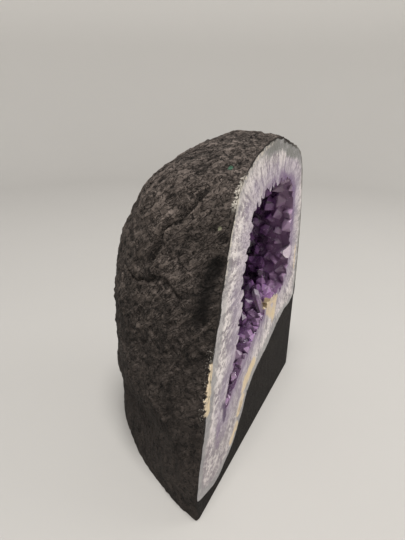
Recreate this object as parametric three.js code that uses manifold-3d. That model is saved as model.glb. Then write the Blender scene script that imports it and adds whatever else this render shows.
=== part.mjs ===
// A rough amethyst: half of a sawn geode that stands upright on a cast cement foot.
// Units are millimetres, +Z is up. While it is shaped, the sawn front is the plane y = 0,
// x runs along it from the left, and z = 0 is the flat underside of the foot.
// At the end the whole model is moved so that the origin is the middle of that underside.

import * as THREE from 'three';
import { mergeVertices } from 'three/addons/utils/BufferGeometryUtils.js';
import { ImprovedNoise } from 'three/addons/math/ImprovedNoise.js';
import Module from 'manifold-3d';

// Driving dimensions

const DEPTH = 112.5;            // sawn front to the rounded back, level with the centre
const FOOT_CENTRE = { x: 93, y: 48 };
const GAP = 0.3;                // clearance between neighbouring solids
const FRONT_STOCK = 6;          // length that the saw cut takes off in front of y = 0
const FAR = 400;                // past every side of the model

const RIND_LEFT = 2.2;          // thickness of the rock skin at the left edge of the cut
const RIND_RIGHT = 3.2;         // and at its lower right

const LUMP_SIZE = 46;           // spacing of the broad lumps on the rock
const LUMP_HEIGHT = 4.6;
const LUMP_START = { x: 56.8, y: 38.9, z: 35.1 };
const WRINKLE_SIZE = 17;        // spacing of the wrinkles on the rock
const WRINKLE_HEIGHT = 2.4;
const WRINKLE_START = { x: 7.9, y: 2.3, z: 0.4 };
const WRINKLE_MIDDLE = 0.22;    // folds under this are ridges, folds over it are furrows
const QUIET_EDGE = 16;          // lumps fade out over this distance behind the cut
const QUIET_BED = 60;           // and over this height above the cement,
const BED_START = 0.2;          // this far through the fade at the cement itself

const HOLLOW_DEPTH = 62;        // sawn front to the back of the hollow
const POCKET_DEPTH = 71;        // and to the back of the crystal crust
const CAVITY_FULLNESS = 2.3;    // 2 would be an ellipse from front to back

const CRYSTAL_ROOM = 5;         // the crystals' roots lie this far outside the hollow's rim
const CRYSTAL_ROOT = 3;         // sunk length of each crystal
const CRYSTAL_SPACING = 14;
const CRYSTAL_SEED = 20;
const CRYSTAL_TRIES = 6000;
const CRYSTAL_FRONT = -0.12;    // sine of the angle at which the first places lie before the cut
const CRYSTAL_WIDTH = { min: 16, max: 27 };
const CRYSTAL_REACH = { min: 5, max: 14 };
const CRYSTAL_TILT = 0.25;      // radians off the wall's own direction
const TIP_SLOPE = 1.27;         // height of a quartz point over the apothem of its prism
const TIP_SHIFT = 0.25;         // how far a tip may stand off its axis, over its corner radius

const FOOT_STEP = 0.8;          // the cement stands this far proud of the rock behind the front
const FOOT_BACK_RISE = 62;      // the cement climbs by this much towards the back
const FOOT_CORNER = 6;          // radius of the foot's upright corners at the front
const BED_MARGIN = 40;          // the cement's top is worked out this far past the body

// Outlines on the sawn front, as x, z

const BODY_CENTRE = { x: 95, z: 90 };
const BODY_OUTLINE = [
  [190, 0], [189, 40], [187, 80], [185, 115], [182, 145], [177, 170], [170, 195],
  [162, 210], [145, 217], [125, 222], [105, 227], [80, 225], [60, 219], [44, 211],
  [36, 202], [28, 182], [22, 165], [16, 142], [10, 122], [5, 105], [1, 85], [-3, 62],
  [-7, 40], [-10, 21], [-8, 0], [-6, -100], [10, -180], [95, -200], [170, -180], [188, -100],
];

// How square the body is from front to back, by direction in degrees from +x
const BODY_FULLNESS = [
  [-150, 1.34], [-110, 1.9], [-30, 2.13], [30, 2.32], [80, 2.64], [110, 2.57],
  [140, 2.44], [165, 1.94], [190, 1.91],
];
const BACK = { fullness: 2.1, from: 0.85, over: 0.6 };
const BODY_LEAN = { x: -0.045, z: -0.284 };
const SHOULDER = { height: 0.084, phi: 1.913, psi: 0.462, phiWidth: 0.5, psiWidth: 0.354 };

const POCKET_CENTRE = { x: 105, z: 150 };
const POCKET_OUTLINE = [
  [167, 130], [165, 150], [162, 175], [154, 197], [132, 207], [105, 206], [75, 204],
  [56, 193], [50, 175], [44, 156], [40, 138], [38, 118], [36, 98], [28, 82], [22, 66],
  [24, 48], [38, 48], [52, 58], [72, 72], [92, 84], [108, 96], [135, 94], [160, 105],
];
const HOLLOW_OUTLINE = [
  [159, 130], [157, 150], [154, 172], [148, 190], [130, 198], [105, 198], [80, 195],
  [64, 187], [58, 170], [52, 152], [50, 135], [48, 118], [44, 100], [36, 82], [32, 66],
  [40, 66], [54, 78], [72, 86], [92, 97], [108, 106], [130, 104], [150, 110],
];

// Height at which the cement's top would be level from front to back
const CEMENT_LEVEL = 130;

// Top of the cement along the sawn front, from left to right
const CEMENT_LINE = [
  [-60, 24], [-10, 21], [0, 16], [20, 9], [40, 15], [50, 22], [67, 42], [85, 57],
  [110, 64], [140, 76], [170, 75], [190, 80], [240, 84],
];

// Facets round and along each rounded form
const ROCK_FACETS = { round: 66, along: 17 };
const INNER_FACETS = { round: 40, along: 10 };
const POCKET_FACETS = { round: 36, along: 8 };
const HOLLOW_FACETS = { round: 24, along: 6 };
const BED_FACETS = { x: 23, y: 8 };
const CORNER_FACETS = 5;
const OUTLINE_SAMPLES = 720;
const WELD = 1e-5;              // vertices closer than this are one

const wasm = await Module();
wasm.setup();
const perlin = new ImprovedNoise();
const UP = new THREE.Vector3(0, 0, 1);

const clamp01 = (t) => Math.min(1, Math.max(0, t));
const smoothStep = (t) => clamp01(t) ** 2 * (3 - 2 * clamp01(t));
const mix = (a, b, t) => a + (b - a) * t;

// The same numbers on every run
function seededRandom(seed) {
  let state = seed;
  return () => {
    state = (state * 1664525 + 1013904223) % 4294967296;
    return state / 4294967296;
  };
}

// A line through [where, value] pairs in rising order of where, bent by ease between them
function valueAlong(pairs, where, ease = (t) => t) {
  const next = pairs.findIndex(([key]) => key >= where);
  if (next === 0) return pairs[0][1];
  if (next < 0) return pairs[pairs.length - 1][1];
  const [keyA, valueA] = pairs[next - 1];
  const [keyB, valueB] = pairs[next];
  return mix(valueA, valueB, ease((where - keyA) / (keyB - keyA)));
}

// Distance from a centre to a smooth closed outline, as a function of the direction
function radiusOfOutline(outline, centre) {
  const points = outline.map(([x, z]) => new THREE.Vector3(x, 0, z));
  const curve = new THREE.CatmullRomCurve3(points, true, 'centripetal');
  const table = curve.getPoints(OUTLINE_SAMPLES).map(({ x, z }) => [
    Math.atan2(z - centre.z, x - centre.x),
    Math.hypot(x - centre.x, z - centre.z),
  ]);
  const turned = table.flatMap(([angle, radius]) => [
    [angle - 2 * Math.PI, radius], [angle, radius], [angle + 2 * Math.PI, radius],
  ]);
  turned.sort((a, b) => a[0] - b[0]);
  return (phi) => valueAlong(turned, Math.atan2(Math.sin(phi), Math.cos(phi)));
}

// Solids

function solidOf(geometry) {
  const bare = geometry.clone();
  for (const name of ['normal', 'uv']) bare.deleteAttribute(name);
  const merged = mergeVertices(bare, WELD);
  return new wasm.Manifold(new wasm.Mesh({
    numProp: 3,
    vertProperties: new Float32Array(merged.attributes.position.array),
    triVerts: new Uint32Array(merged.index.array),
  }));
}

function geometryOf(solid) {
  const { vertProperties, triVerts } = solid.getMesh();
  const geometry = new THREE.BufferGeometry();
  geometry.setAttribute('position', new THREE.BufferAttribute(vertProperties, 3));
  geometry.setIndex(new THREE.BufferAttribute(triVerts, 1));
  geometry.computeVertexNormals();
  return geometry;
}

function boxBetween(low, high) {
  const size = high.map((value, axis) => value - low[axis]);
  const box = new THREE.BoxGeometry(...size);
  box.translate(...high.map((value, axis) => (value + low[axis]) / 2));
  return solidOf(box);
}

// A rounded form given by pointAt(phi, psi): phi goes round the front, psi goes from the
// front (0) to the back (a right angle). A straight collar stands in front of the cut.
function roundedSolid(pointAt, facets) {
  const { round: phiSteps, along: psiSteps } = facets;
  const positions = [];
  const ring = (phi) => phi * 2 * Math.PI / phiSteps;
  for (let phi = 0; phi < phiSteps; phi += 1) {
    const front = pointAt(ring(phi), 0);
    positions.push(front.x, -FRONT_STOCK, front.z);
  }
  for (let psi = 0; psi < psiSteps; psi += 1) {
    for (let phi = 0; phi < phiSteps; phi += 1) {
      positions.push(...pointAt(ring(phi), psi / psiSteps * Math.PI / 2).toArray());
    }
  }
  const back = positions.length / 3;
  positions.push(...pointAt(0, Math.PI / 2).toArray());
  const front = back + 1;
  const middle = pointAt(0, 0).add(pointAt(Math.PI, 0)).multiplyScalar(0.5);
  positions.push(middle.x, -FRONT_STOCK, middle.z);

  const triangles = [];
  for (let phi = 0; phi < phiSteps; phi += 1) {
    const next = (phi + 1) % phiSteps;
    triangles.push(front, phi, next);
    for (let row = 0; row < psiSteps; row += 1) {
      const a = row * phiSteps;
      const b = a + phiSteps;
      triangles.push(a + phi, b + phi, a + next, a + next, b + phi, b + next);
    }
    triangles.push(psiSteps * phiSteps + phi, back, psiSteps * phiSteps + next);
  }
  const geometry = new THREE.BufferGeometry();
  geometry.setAttribute('position', new THREE.Float32BufferAttribute(positions, 3));
  geometry.setIndex(triangles);
  return solidOf(geometry);
}

// Radius of a form that is round from front to back, n = 2 being an ellipse
function roundedRadius(frontRadius, depth, psi, n) {
  const sideways = Math.abs(Math.cos(psi) / frontRadius) ** n;
  const backward = Math.abs(Math.sin(psi) / depth) ** n;
  return (sideways + backward) ** (-1 / n);
}

// The body: outer surface of the rock and of the foot

const bodyRadius = radiusOfOutline(BODY_OUTLINE, BODY_CENTRE);

function bodyFullness(phi, psi) {
  const first = BODY_FULLNESS[0][0];
  const degrees = THREE.MathUtils.euclideanModulo(THREE.MathUtils.radToDeg(phi) - first, 360) + first;
  const knots = [...BODY_FULLNESS, [first + 360, BODY_FULLNESS[0][1]]];
  const towardsBack = smoothStep((psi - BACK.from) / BACK.over);
  return mix(valueAlong(knots, degrees, smoothStep), BACK.fullness, towardsBack);
}

function bodyPoint(phi, psi, grow) {
  const turn = Math.atan2(Math.sin(phi), Math.cos(phi));
  const { height, phi: atPhi, psi: atPsi, phiWidth, psiWidth } = SHOULDER;
  const shoulder = height * Math.exp(-(((turn - atPhi) / phiWidth) ** 2) - ((psi - atPsi) / psiWidth) ** 2);
  const plain = roundedRadius(bodyRadius(phi), DEPTH, psi, bodyFullness(phi, psi)) * (1 + shoulder);
  const lengthAt = (radius) => new THREE.Vector3(
    BODY_CENTRE.x + radius * Math.cos(psi) * Math.cos(phi),
    radius * Math.sin(psi),
    BODY_CENTRE.z + radius * Math.cos(psi) * Math.sin(phi),
  );
  const point = lengthAt(plain + grow(lengthAt(plain), phi));
  point.x += BODY_LEAN.x * point.y ** 2 / DEPTH;
  point.z += BODY_LEAN.z * point.y ** 2 / DEPTH;
  return point;
}

function noiseAt({ x, y, z }, size, start) {
  return perlin.noise(x / size + start.x, y / size + start.y, z / size + start.z);
}

// Lumps and wrinkles die away at the cut and just above the cement
function roughness(point) {
  const aboveFoot = point.z - bedHeight(point.x, point.y);
  return smoothStep(point.y / QUIET_EDGE) * smoothStep(aboveFoot / QUIET_BED + BED_START);
}

const lumps = (point) => roughness(point) * LUMP_HEIGHT * noiseAt(point, LUMP_SIZE, LUMP_START);

function wrinkles(point) {
  const fold = Math.abs(noiseAt(point, WRINKLE_SIZE, WRINKLE_START));
  return roughness(point) * WRINKLE_HEIGHT * (WRINKLE_MIDDLE - fold);
}

const rindThickness = (phi) => mix(RIND_LEFT, RIND_RIGHT, 0.5 + 0.5 * Math.cos(phi));
const roughRock = (point) => lumps(point) + wrinkles(point);
const underRind = (extra) => (point, phi) => lumps(point) - rindThickness(phi) - extra;
const castFoot = (point) => FOOT_STEP * smoothStep(point.y / QUIET_EDGE);

// The bed: the surface between the geode and the cement that holds it

function bedHeight(x, y) {
  const line = valueAlong(CEMENT_LINE, x);
  return line + FOOT_BACK_RISE * clamp01(y / DEPTH) * (1 - line / CEMENT_LEVEL);
}

// Everything above the bed, raised by lift
function aboveBed(lift) {
  const low = { x: -BED_MARGIN, y: -2 * FRONT_STOCK };
  const high = { x: BODY_OUTLINE[0][0] + BED_MARGIN, y: DEPTH + BED_MARGIN };
  const steps = BED_FACETS;
  const positions = [];
  for (const heightAt of [(x, y) => bedHeight(x, y) + lift, () => FAR]) {
    for (let row = 0; row <= steps.y; row += 1) {
      for (let column = 0; column <= steps.x; column += 1) {
        const x = mix(low.x, high.x, column / steps.x);
        const y = mix(low.y, high.y, row / steps.y);
        positions.push(x, y, heightAt(x, y));
      }
    }
  }
  const width = steps.x + 1;
  const layer = width * (steps.y + 1);
  const triangles = [];
  for (let row = 0; row < steps.y; row += 1) {
    for (let column = 0; column < steps.x; column += 1) {
      const a = row * width + column;
      const b = a + 1;
      const c = a + width;
      const d = c + 1;
      triangles.push(a, c, b, b, c, d);
      triangles.push(layer + a, layer + b, layer + c, layer + b, layer + d, layer + c);
    }
  }
  const wall = (from, to) => {
    triangles.push(from, to, layer + from, to, layer + to, layer + from);
  };
  for (let column = 0; column < steps.x; column += 1) {
    wall(column, column + 1);
    wall(steps.y * width + column + 1, steps.y * width + column);
  }
  for (let row = 0; row < steps.y; row += 1) {
    wall((row + 1) * width, row * width);
    wall(row * width + steps.x, (row + 1) * width + steps.x);
  }
  const geometry = new THREE.BufferGeometry();
  geometry.setAttribute('position', new THREE.Float32BufferAttribute(positions, 3));
  geometry.setIndex(triangles);
  return solidOf(geometry);
}

const behindCut = boxBetween([-FAR, 0, 0], [FAR, FAR, FAR]);

// The pocket that the crystals line, and the open hollow inside it

const pocketRadius = radiusOfOutline(POCKET_OUTLINE, POCKET_CENTRE);
const hollowRadius = radiusOfOutline(HOLLOW_OUTLINE, POCKET_CENTRE);

function cavityPoint(frontRadius, depth, phi, psi) {
  const radius = roundedRadius(frontRadius(phi), depth, psi, CAVITY_FULLNESS);
  return new THREE.Vector3(
    POCKET_CENTRE.x + radius * Math.cos(psi) * Math.cos(phi),
    radius * Math.sin(psi),
    POCKET_CENTRE.z + radius * Math.cos(psi) * Math.sin(phi),
  );
}

const pocketPoint = (extra) => (phi, psi) => (
  cavityPoint((angle) => pocketRadius(angle) + extra, POCKET_DEPTH + extra, phi, psi)
);
const hollowPoint = (phi, psi) => (
  cavityPoint((angle) => hollowRadius(angle) + CRYSTAL_ROOM, HOLLOW_DEPTH + CRYSTAL_ROOM, phi, psi)
);

// The rock skin, black outside

function makeRind() {
  const outer = roundedSolid((phi, psi) => bodyPoint(phi, psi, roughRock), ROCK_FACETS);
  const inner = roundedSolid((phi, psi) => bodyPoint(phi, psi, underRind(0)), INNER_FACETS);
  return outer
    .intersect(aboveBed(0))
    .subtract(inner.intersect(aboveBed(RIND_LEFT)))
    .intersect(behindCut);
}

// The pale quartz that grew inward from the rock skin

function makeQuartzWall() {
  const outer = roundedSolid((phi, psi) => bodyPoint(phi, psi, underRind(GAP)), INNER_FACETS);
  const pocket = roundedSolid(pocketPoint(GAP), POCKET_FACETS);
  return outer
    .intersect(aboveBed(RIND_LEFT + GAP))
    .subtract(pocket)
    .intersect(behindCut);
}

// One six-sided quartz point along +z, with its root below z = 0. A stout one is all
// pyramid, a slender one has a stretch of prism under its pyramid.

function crystalGeometry(width, reach, random) {
  const pyramid = Math.min(width / 2 * TIP_SLOPE, reach + CRYSTAL_ROOT);
  const corner = pyramid / TIP_SLOPE / Math.cos(Math.PI / 6);
  const start = random() * Math.PI / 3;
  const slant = () => (random() - 0.5) * TIP_SHIFT * corner;
  const rings = [...new Set([-CRYSTAL_ROOT, reach - pyramid])];
  const positions = [[0, 0, -CRYSTAL_ROOT], [slant(), slant(), reach]];
  for (const height of rings) {
    for (let side = 0; side < 6; side += 1) {
      const angle = start + side * Math.PI / 3;
      positions.push([corner * Math.cos(angle), corner * Math.sin(angle), height]);
    }
  }
  const [root, tip, first] = [0, 1, 2];
  const last = first + 6 * (rings.length - 1);
  const triangles = [];
  for (let side = 0; side < 6; side += 1) {
    const next = (side + 1) % 6;
    triangles.push(root, first + next, first + side, tip, last + side, last + next);
    if (last > first) {
      triangles.push(first + side, first + next, last + next, first + side, last + next, last + side);
    }
  }
  const geometry = new THREE.BufferGeometry();
  geometry.setAttribute('position', new THREE.Float32BufferAttribute(positions.flat(), 3));
  geometry.setIndex(triangles);
  return geometry;
}

// Places on the hollow's wall, at least CRYSTAL_SPACING apart. Some lie just in front of
// the cut, where the saw went through their crystals.

function crystalPlaces(random) {
  const places = [];
  for (let attempt = 0; attempt < CRYSTAL_TRIES; attempt += 1) {
    const phi = random() * 2 * Math.PI;
    const psi = Math.asin(mix(CRYSTAL_FRONT, 1, random()));
    const point = hollowPoint(phi, psi);
    if (places.every(({ point: other }) => other.distanceTo(point) > CRYSTAL_SPACING)) {
      places.push({ phi, psi, point });
    }
  }
  return places;
}

function wallNormal(phi, psi) {
  const step = 0.03;
  const along = hollowPoint(phi + step, psi).sub(hollowPoint(phi - step, psi));
  const inward = hollowPoint(phi, psi + step).sub(hollowPoint(phi, psi - step));
  const normal = along.cross(inward).normalize();
  const toCentre = new THREE.Vector3(POCKET_CENTRE.x, 0, POCKET_CENTRE.z).sub(hollowPoint(phi, psi));
  return normal.dot(toCentre) < 0 ? normal.negate() : normal;
}

// The crust: all of the hollow's crystals grown into one lining

function makeCrust() {
  const random = seededRandom(CRYSTAL_SEED);
  const pocket = roundedSolid(pocketPoint(0), POCKET_FACETS);
  const hollow = roundedSolid(hollowPoint, HOLLOW_FACETS);
  let crystals = null;
  for (const { phi, psi, point } of crystalPlaces(random)) {
    const width = mix(CRYSTAL_WIDTH.min, CRYSTAL_WIDTH.max, random() * random());
    const reach = mix(CRYSTAL_REACH.min, CRYSTAL_REACH.max, random());
    const direction = wallNormal(phi, psi);
    const tilt = () => mix(-CRYSTAL_TILT, CRYSTAL_TILT, random());
    direction.add(new THREE.Vector3(tilt(), tilt(), tilt())).normalize();
    const geometry = crystalGeometry(width, reach, random);
    geometry.applyQuaternion(new THREE.Quaternion().setFromUnitVectors(UP, direction));
    geometry.translate(point.x, point.y, point.z);
    const crystal = solidOf(geometry);
    crystals = crystals ? crystals.add(crystal) : crystal;
  }
  return pocket.subtract(hollow).add(crystals).intersect(pocket).intersect(behindCut);
}

// The foot: black cement, cast round the underside of the geode

function makeFoot() {
  const outer = roundedSolid((phi, psi) => bodyPoint(phi, psi, castFoot), INNER_FACETS);
  const left = Math.min(...BODY_OUTLINE.map(([x]) => x));
  const right = Math.max(...BODY_OUTLINE.map(([x]) => x));
  const plan = new THREE.Shape();
  plan.moveTo(right, FAR);
  plan.lineTo(left, FAR);
  plan.absarc(left + FOOT_CORNER, FOOT_CORNER, FOOT_CORNER, Math.PI, 1.5 * Math.PI);
  plan.absarc(right - FOOT_CORNER, FOOT_CORNER, FOOT_CORNER, 1.5 * Math.PI, 2 * Math.PI);
  const mould = new THREE.ExtrudeGeometry(
    plan, { depth: FAR, bevelEnabled: false, curveSegments: CORNER_FACETS },
  );
  return outer.subtract(aboveBed(-GAP)).intersect(behindCut).intersect(solidOf(mould));
}

const parts = [
  { name: 'rind', solid: makeRind(), color: 0x2b2827, roughness: 0.85 },
  { name: 'quartz_wall', solid: makeQuartzWall(), color: 0xc9c3d0, roughness: 0.35 },
  { name: 'amethyst_crust', solid: makeCrust(), color: 0x5b2a86, roughness: 0.12 },
  { name: 'cement_base', solid: makeFoot(), color: 0x242222, roughness: 0.8 },
];

const amethyst = new THREE.Group();
amethyst.position.set(-FOOT_CENTRE.x, -FOOT_CENTRE.y, 0);
for (const { name, solid, color, roughness } of parts) {
  const material = new THREE.MeshStandardMaterial({ color, roughness, metalness: 0 });
  const mesh = new THREE.Mesh(geometryOf(solid), material);
  mesh.name = name;
  amethyst.add(mesh);
}

export default amethyst;
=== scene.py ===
"""A rough amethyst: half of a sawn geode that stands upright on a cast cement foot.

Sizes are in millimetres in the part's own frame: x to the right along the sawn front, y into the
stone, z up from the flat underside. Meshes are turned into metres when they are made.
"""

import logging
import math
from dataclasses import dataclass
from enum import Enum

import bmesh
import bpy
import numpy as np
from mathutils import Matrix, Quaternion, Vector, noise
from mathutils.bvhtree import BVHTree


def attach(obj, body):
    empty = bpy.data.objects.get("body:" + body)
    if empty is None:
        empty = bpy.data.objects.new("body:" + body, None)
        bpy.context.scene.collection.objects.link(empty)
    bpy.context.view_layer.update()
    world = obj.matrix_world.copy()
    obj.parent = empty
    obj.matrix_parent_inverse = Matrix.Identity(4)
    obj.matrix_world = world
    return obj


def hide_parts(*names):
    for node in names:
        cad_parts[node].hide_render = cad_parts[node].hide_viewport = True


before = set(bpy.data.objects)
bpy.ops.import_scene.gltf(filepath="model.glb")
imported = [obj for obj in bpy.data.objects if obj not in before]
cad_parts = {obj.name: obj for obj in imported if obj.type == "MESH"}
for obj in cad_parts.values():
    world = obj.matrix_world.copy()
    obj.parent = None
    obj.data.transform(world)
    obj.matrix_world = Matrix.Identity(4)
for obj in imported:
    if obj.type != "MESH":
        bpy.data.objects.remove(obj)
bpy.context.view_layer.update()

BODY = "root"
MM = 0.001
FRONT = -48.0            # y of the sawn front
STOCK = 6.0              # length that the saw cut takes off in front of it
FAR = 400.0              # past every side of the stone
SIDES = 6                # of a quartz crystal
LINING_GRID = (40, 240)  # rows and columns of the crystals' lining
ROOT_GRID = (91, 720)    # and of the surface that they are planted on

Pair = tuple[float, float]           # such as x, z on the cut
Point = tuple[float, float, float]   # x, y, z
Colour = tuple[float, float, float]  # red, green, blue, from 0 to 1
Piece = bpy.types.Object
Material = bpy.types.Material
Socket = bpy.types.NodeSocket

log = logging.getLogger("amethyst")


class Cut(Enum):
    """How one closed form changes another."""

    JOIN = "UNION"
    TAKE_AWAY = "DIFFERENCE"
    KEEP_INSIDE = "INTERSECT"


def on_cut(centre: Pair) -> np.ndarray:
    """Returns the place on the sawn front that has this x, z."""
    return np.array([centre[0], FRONT, centre[1]])


def smooth_step(t: np.ndarray | float) -> np.ndarray | float:
    """Returns 0 to 1, easing in and out, as t goes from 0 to 1."""
    t = np.clip(t, 0.0, 1.0)
    return t * t * (3.0 - 2.0 * t)


def bell(distance: np.ndarray, width: float) -> np.ndarray:
    """Returns 1 at no distance, fading out smoothly over width."""
    return np.exp(-((distance / width) ** 2))


# Meshes

def make_mesh(name: str, points: np.ndarray, faces: list) -> Piece:
    """Makes an object from points and faces.

    Args:
        name: Name of the object.
        points: Vertices in millimetres, one row each.
        faces: Vertex numbers of each face, outward by the right-hand rule.

    Returns:
        The object, linked to the scene.
    """
    mesh = bpy.data.meshes.new(name)
    mesh.from_pydata((np.asarray(points, float) * MM).tolist(), [], faces)
    mesh.update()
    made = bpy.data.objects.new(name, mesh)
    bpy.context.scene.collection.objects.link(made)
    return made


def ring_faces(rings: int, columns: int, turned: bool = False) -> list[list[int]]:
    """Joins closed rings of vertices that follow one another.

    Args:
        rings: Number of rings.
        columns: Vertices in each.
        turned: Whether the faces look to the other side.

    Returns:
        The vertex numbers of each face.
    """
    first = (np.arange(rings - 1) * columns)[:, None]
    a, b = first + np.arange(columns), first + (np.arange(columns) + 1) % columns
    corners = [a, b, b + columns, a + columns] if turned else [a, a + columns, b + columns, b]
    return np.stack(corners, axis=-1).reshape(-1, 4).tolist()


def discard(*objects: Piece) -> None:
    """Removes helper objects and their meshes.

    Args:
        objects: The helpers.
    """
    for helper in objects:
        mesh = helper.data
        bpy.data.objects.remove(helper)
        bpy.data.meshes.remove(mesh)


def cut_with(target: Piece, cut: Cut, tools: list[Piece]) -> Piece:
    """Joins or cuts a closed form with others, which are used up.

    Args:
        target: The form that changes.
        cut: What the tools do to it.
        tools: The other closed forms.

    Returns:
        The target, with its new mesh.
    """
    group = bpy.data.collections.new("tools")
    bpy.context.scene.collection.children.link(group)
    for tool in tools:
        for owner in tool.users_collection:
            owner.objects.unlink(tool)
        group.objects.link(tool)
    modifier = target.modifiers.new("cut", "BOOLEAN")
    modifier.operation = cut.value
    modifier.solver = "MANIFOLD"
    modifier.operand_type = "COLLECTION"
    modifier.collection = group
    graph = bpy.context.evaluated_depsgraph_get()
    result = bpy.data.meshes.new_from_object(target.evaluated_get(graph))
    target.modifiers.remove(modifier)
    old = target.data
    result.name = old.name
    target.data = result
    bpy.data.meshes.remove(old)
    discard(*tools)
    bpy.data.collections.remove(group)
    return target


def block(name: str, low: Point, high: Point) -> Piece:
    """Makes a plain block to cut with, between two corners in millimetres.

    Args:
        name: Name of the block.
        low: Its lowest corner.
        high: Its highest corner.

    Returns:
        The block.
    """
    corners = [(x, y, z) for z in (low[2], high[2]) for y in (low[1], high[1]) for x in (low[0], high[0])]
    faces = [(0, 2, 3, 1), (4, 5, 7, 6), (0, 1, 5, 4), (2, 6, 7, 3), (0, 4, 6, 2), (1, 3, 7, 5)]
    return make_mesh(name, np.array(corners), faces)


def behind_the_cut() -> Piece:
    """Makes the half space that the saw left, above the ground."""
    return block("half_space", (-FAR, FRONT, 0.0), (FAR, FAR, FAR))


def vertices_of(piece: Piece) -> np.ndarray:
    """Reads a mesh's vertices.

    Args:
        piece: The object that has the mesh.

    Returns:
        One row for each vertex, in millimetres.
    """
    flat = np.empty(len(piece.data.vertices) * 3, np.float32)
    piece.data.vertices.foreach_get("co", flat)
    return flat.reshape(-1, 3).astype(float) / MM


def store(piece: Piece, name: str, values: np.ndarray) -> None:
    """Keeps one number for each vertex, for the shaders to read."""
    attribute = piece.data.attributes.new(name, "FLOAT", "POINT")
    attribute.data.foreach_set("value", values.astype(np.float32))


def noise_at(points: np.ndarray, size: float | Point, start: float = 0.0) -> np.ndarray:
    """Smooth noise of about -1 to 1.

    Args:
        points: Places in millimetres, any shape that ends in 3.
        size: Spacing of the bumps, one for all or one for each axis.
        start: Shifts the pattern, so that two patterns differ.

    Returns:
        One number for each place.
    """
    scaled = (points / np.array(size) + start).reshape(-1, 3)
    values = [noise.noise(place) for place in scaled.tolist()]
    return np.array(values).reshape(points.shape[:-1])


# Forms

def outline_radius(outline: tuple[Pair, ...], centre: Pair, angles: np.ndarray) -> np.ndarray:
    """Distance from a centre to a smooth closed outline.

    Args:
        outline: Corner points of the outline as x, z.
        centre: Where the distance starts, as x, z.
        angles: Directions in radians from +x.

    Returns:
        The distance in each direction.
    """
    corners = np.array(outline)
    before, after, beyond = (np.roll(corners, shift, axis=0) for shift in (1, -1, -2))
    t = np.linspace(0.0, 1.0, 24, endpoint=False)[:, None, None]
    curve = 0.5 * (2 * corners + (after - before) * t
                   + (2 * before - 5 * corners + 4 * after - beyond) * t ** 2
                   + (3 * corners - before - 3 * after + beyond) * t ** 3)
    away = curve.transpose(1, 0, 2).reshape(-1, 2) - np.array(centre)
    turn = np.arctan2(away[:, 1], away[:, 0])
    order = np.argsort(turn)
    return np.interp(angles, turn[order], np.hypot(*away.T)[order], period=2 * math.pi)


def unit_directions(phi: np.ndarray, psi: np.ndarray) -> np.ndarray:
    """Directions behind the cut, for each phi round the front and psi from the front to the back."""
    return np.stack([np.cos(psi) * np.cos(phi), np.sin(psi), np.cos(psi) * np.sin(phi)], axis=-1)


def reach_to(solid: BVHTree, centre: Pair, ways: np.ndarray, from_outside: bool) -> np.ndarray:
    """Distance from a centre on the cut to a solid's surface.

    Args:
        solid: The solid.
        centre: The centre, as x, z.
        ways: Directions, any shape that ends in 3.
        from_outside: Whether the surface is met from far outside, or else from the centre.

    Returns:
        The distance in each direction, in millimetres.
    """
    middle = Vector(on_cut(centre)) * MM
    reach = []
    for direction in map(Vector, ways.reshape(-1, 3)):
        start, way = (middle + direction * FAR * MM, -direction) if from_outside else (middle, direction)
        hit = solid.ray_cast(start, way)[0]
        reach.append((hit - middle).length / MM)
    return np.array(reach).reshape(ways.shape[:-1])


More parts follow.
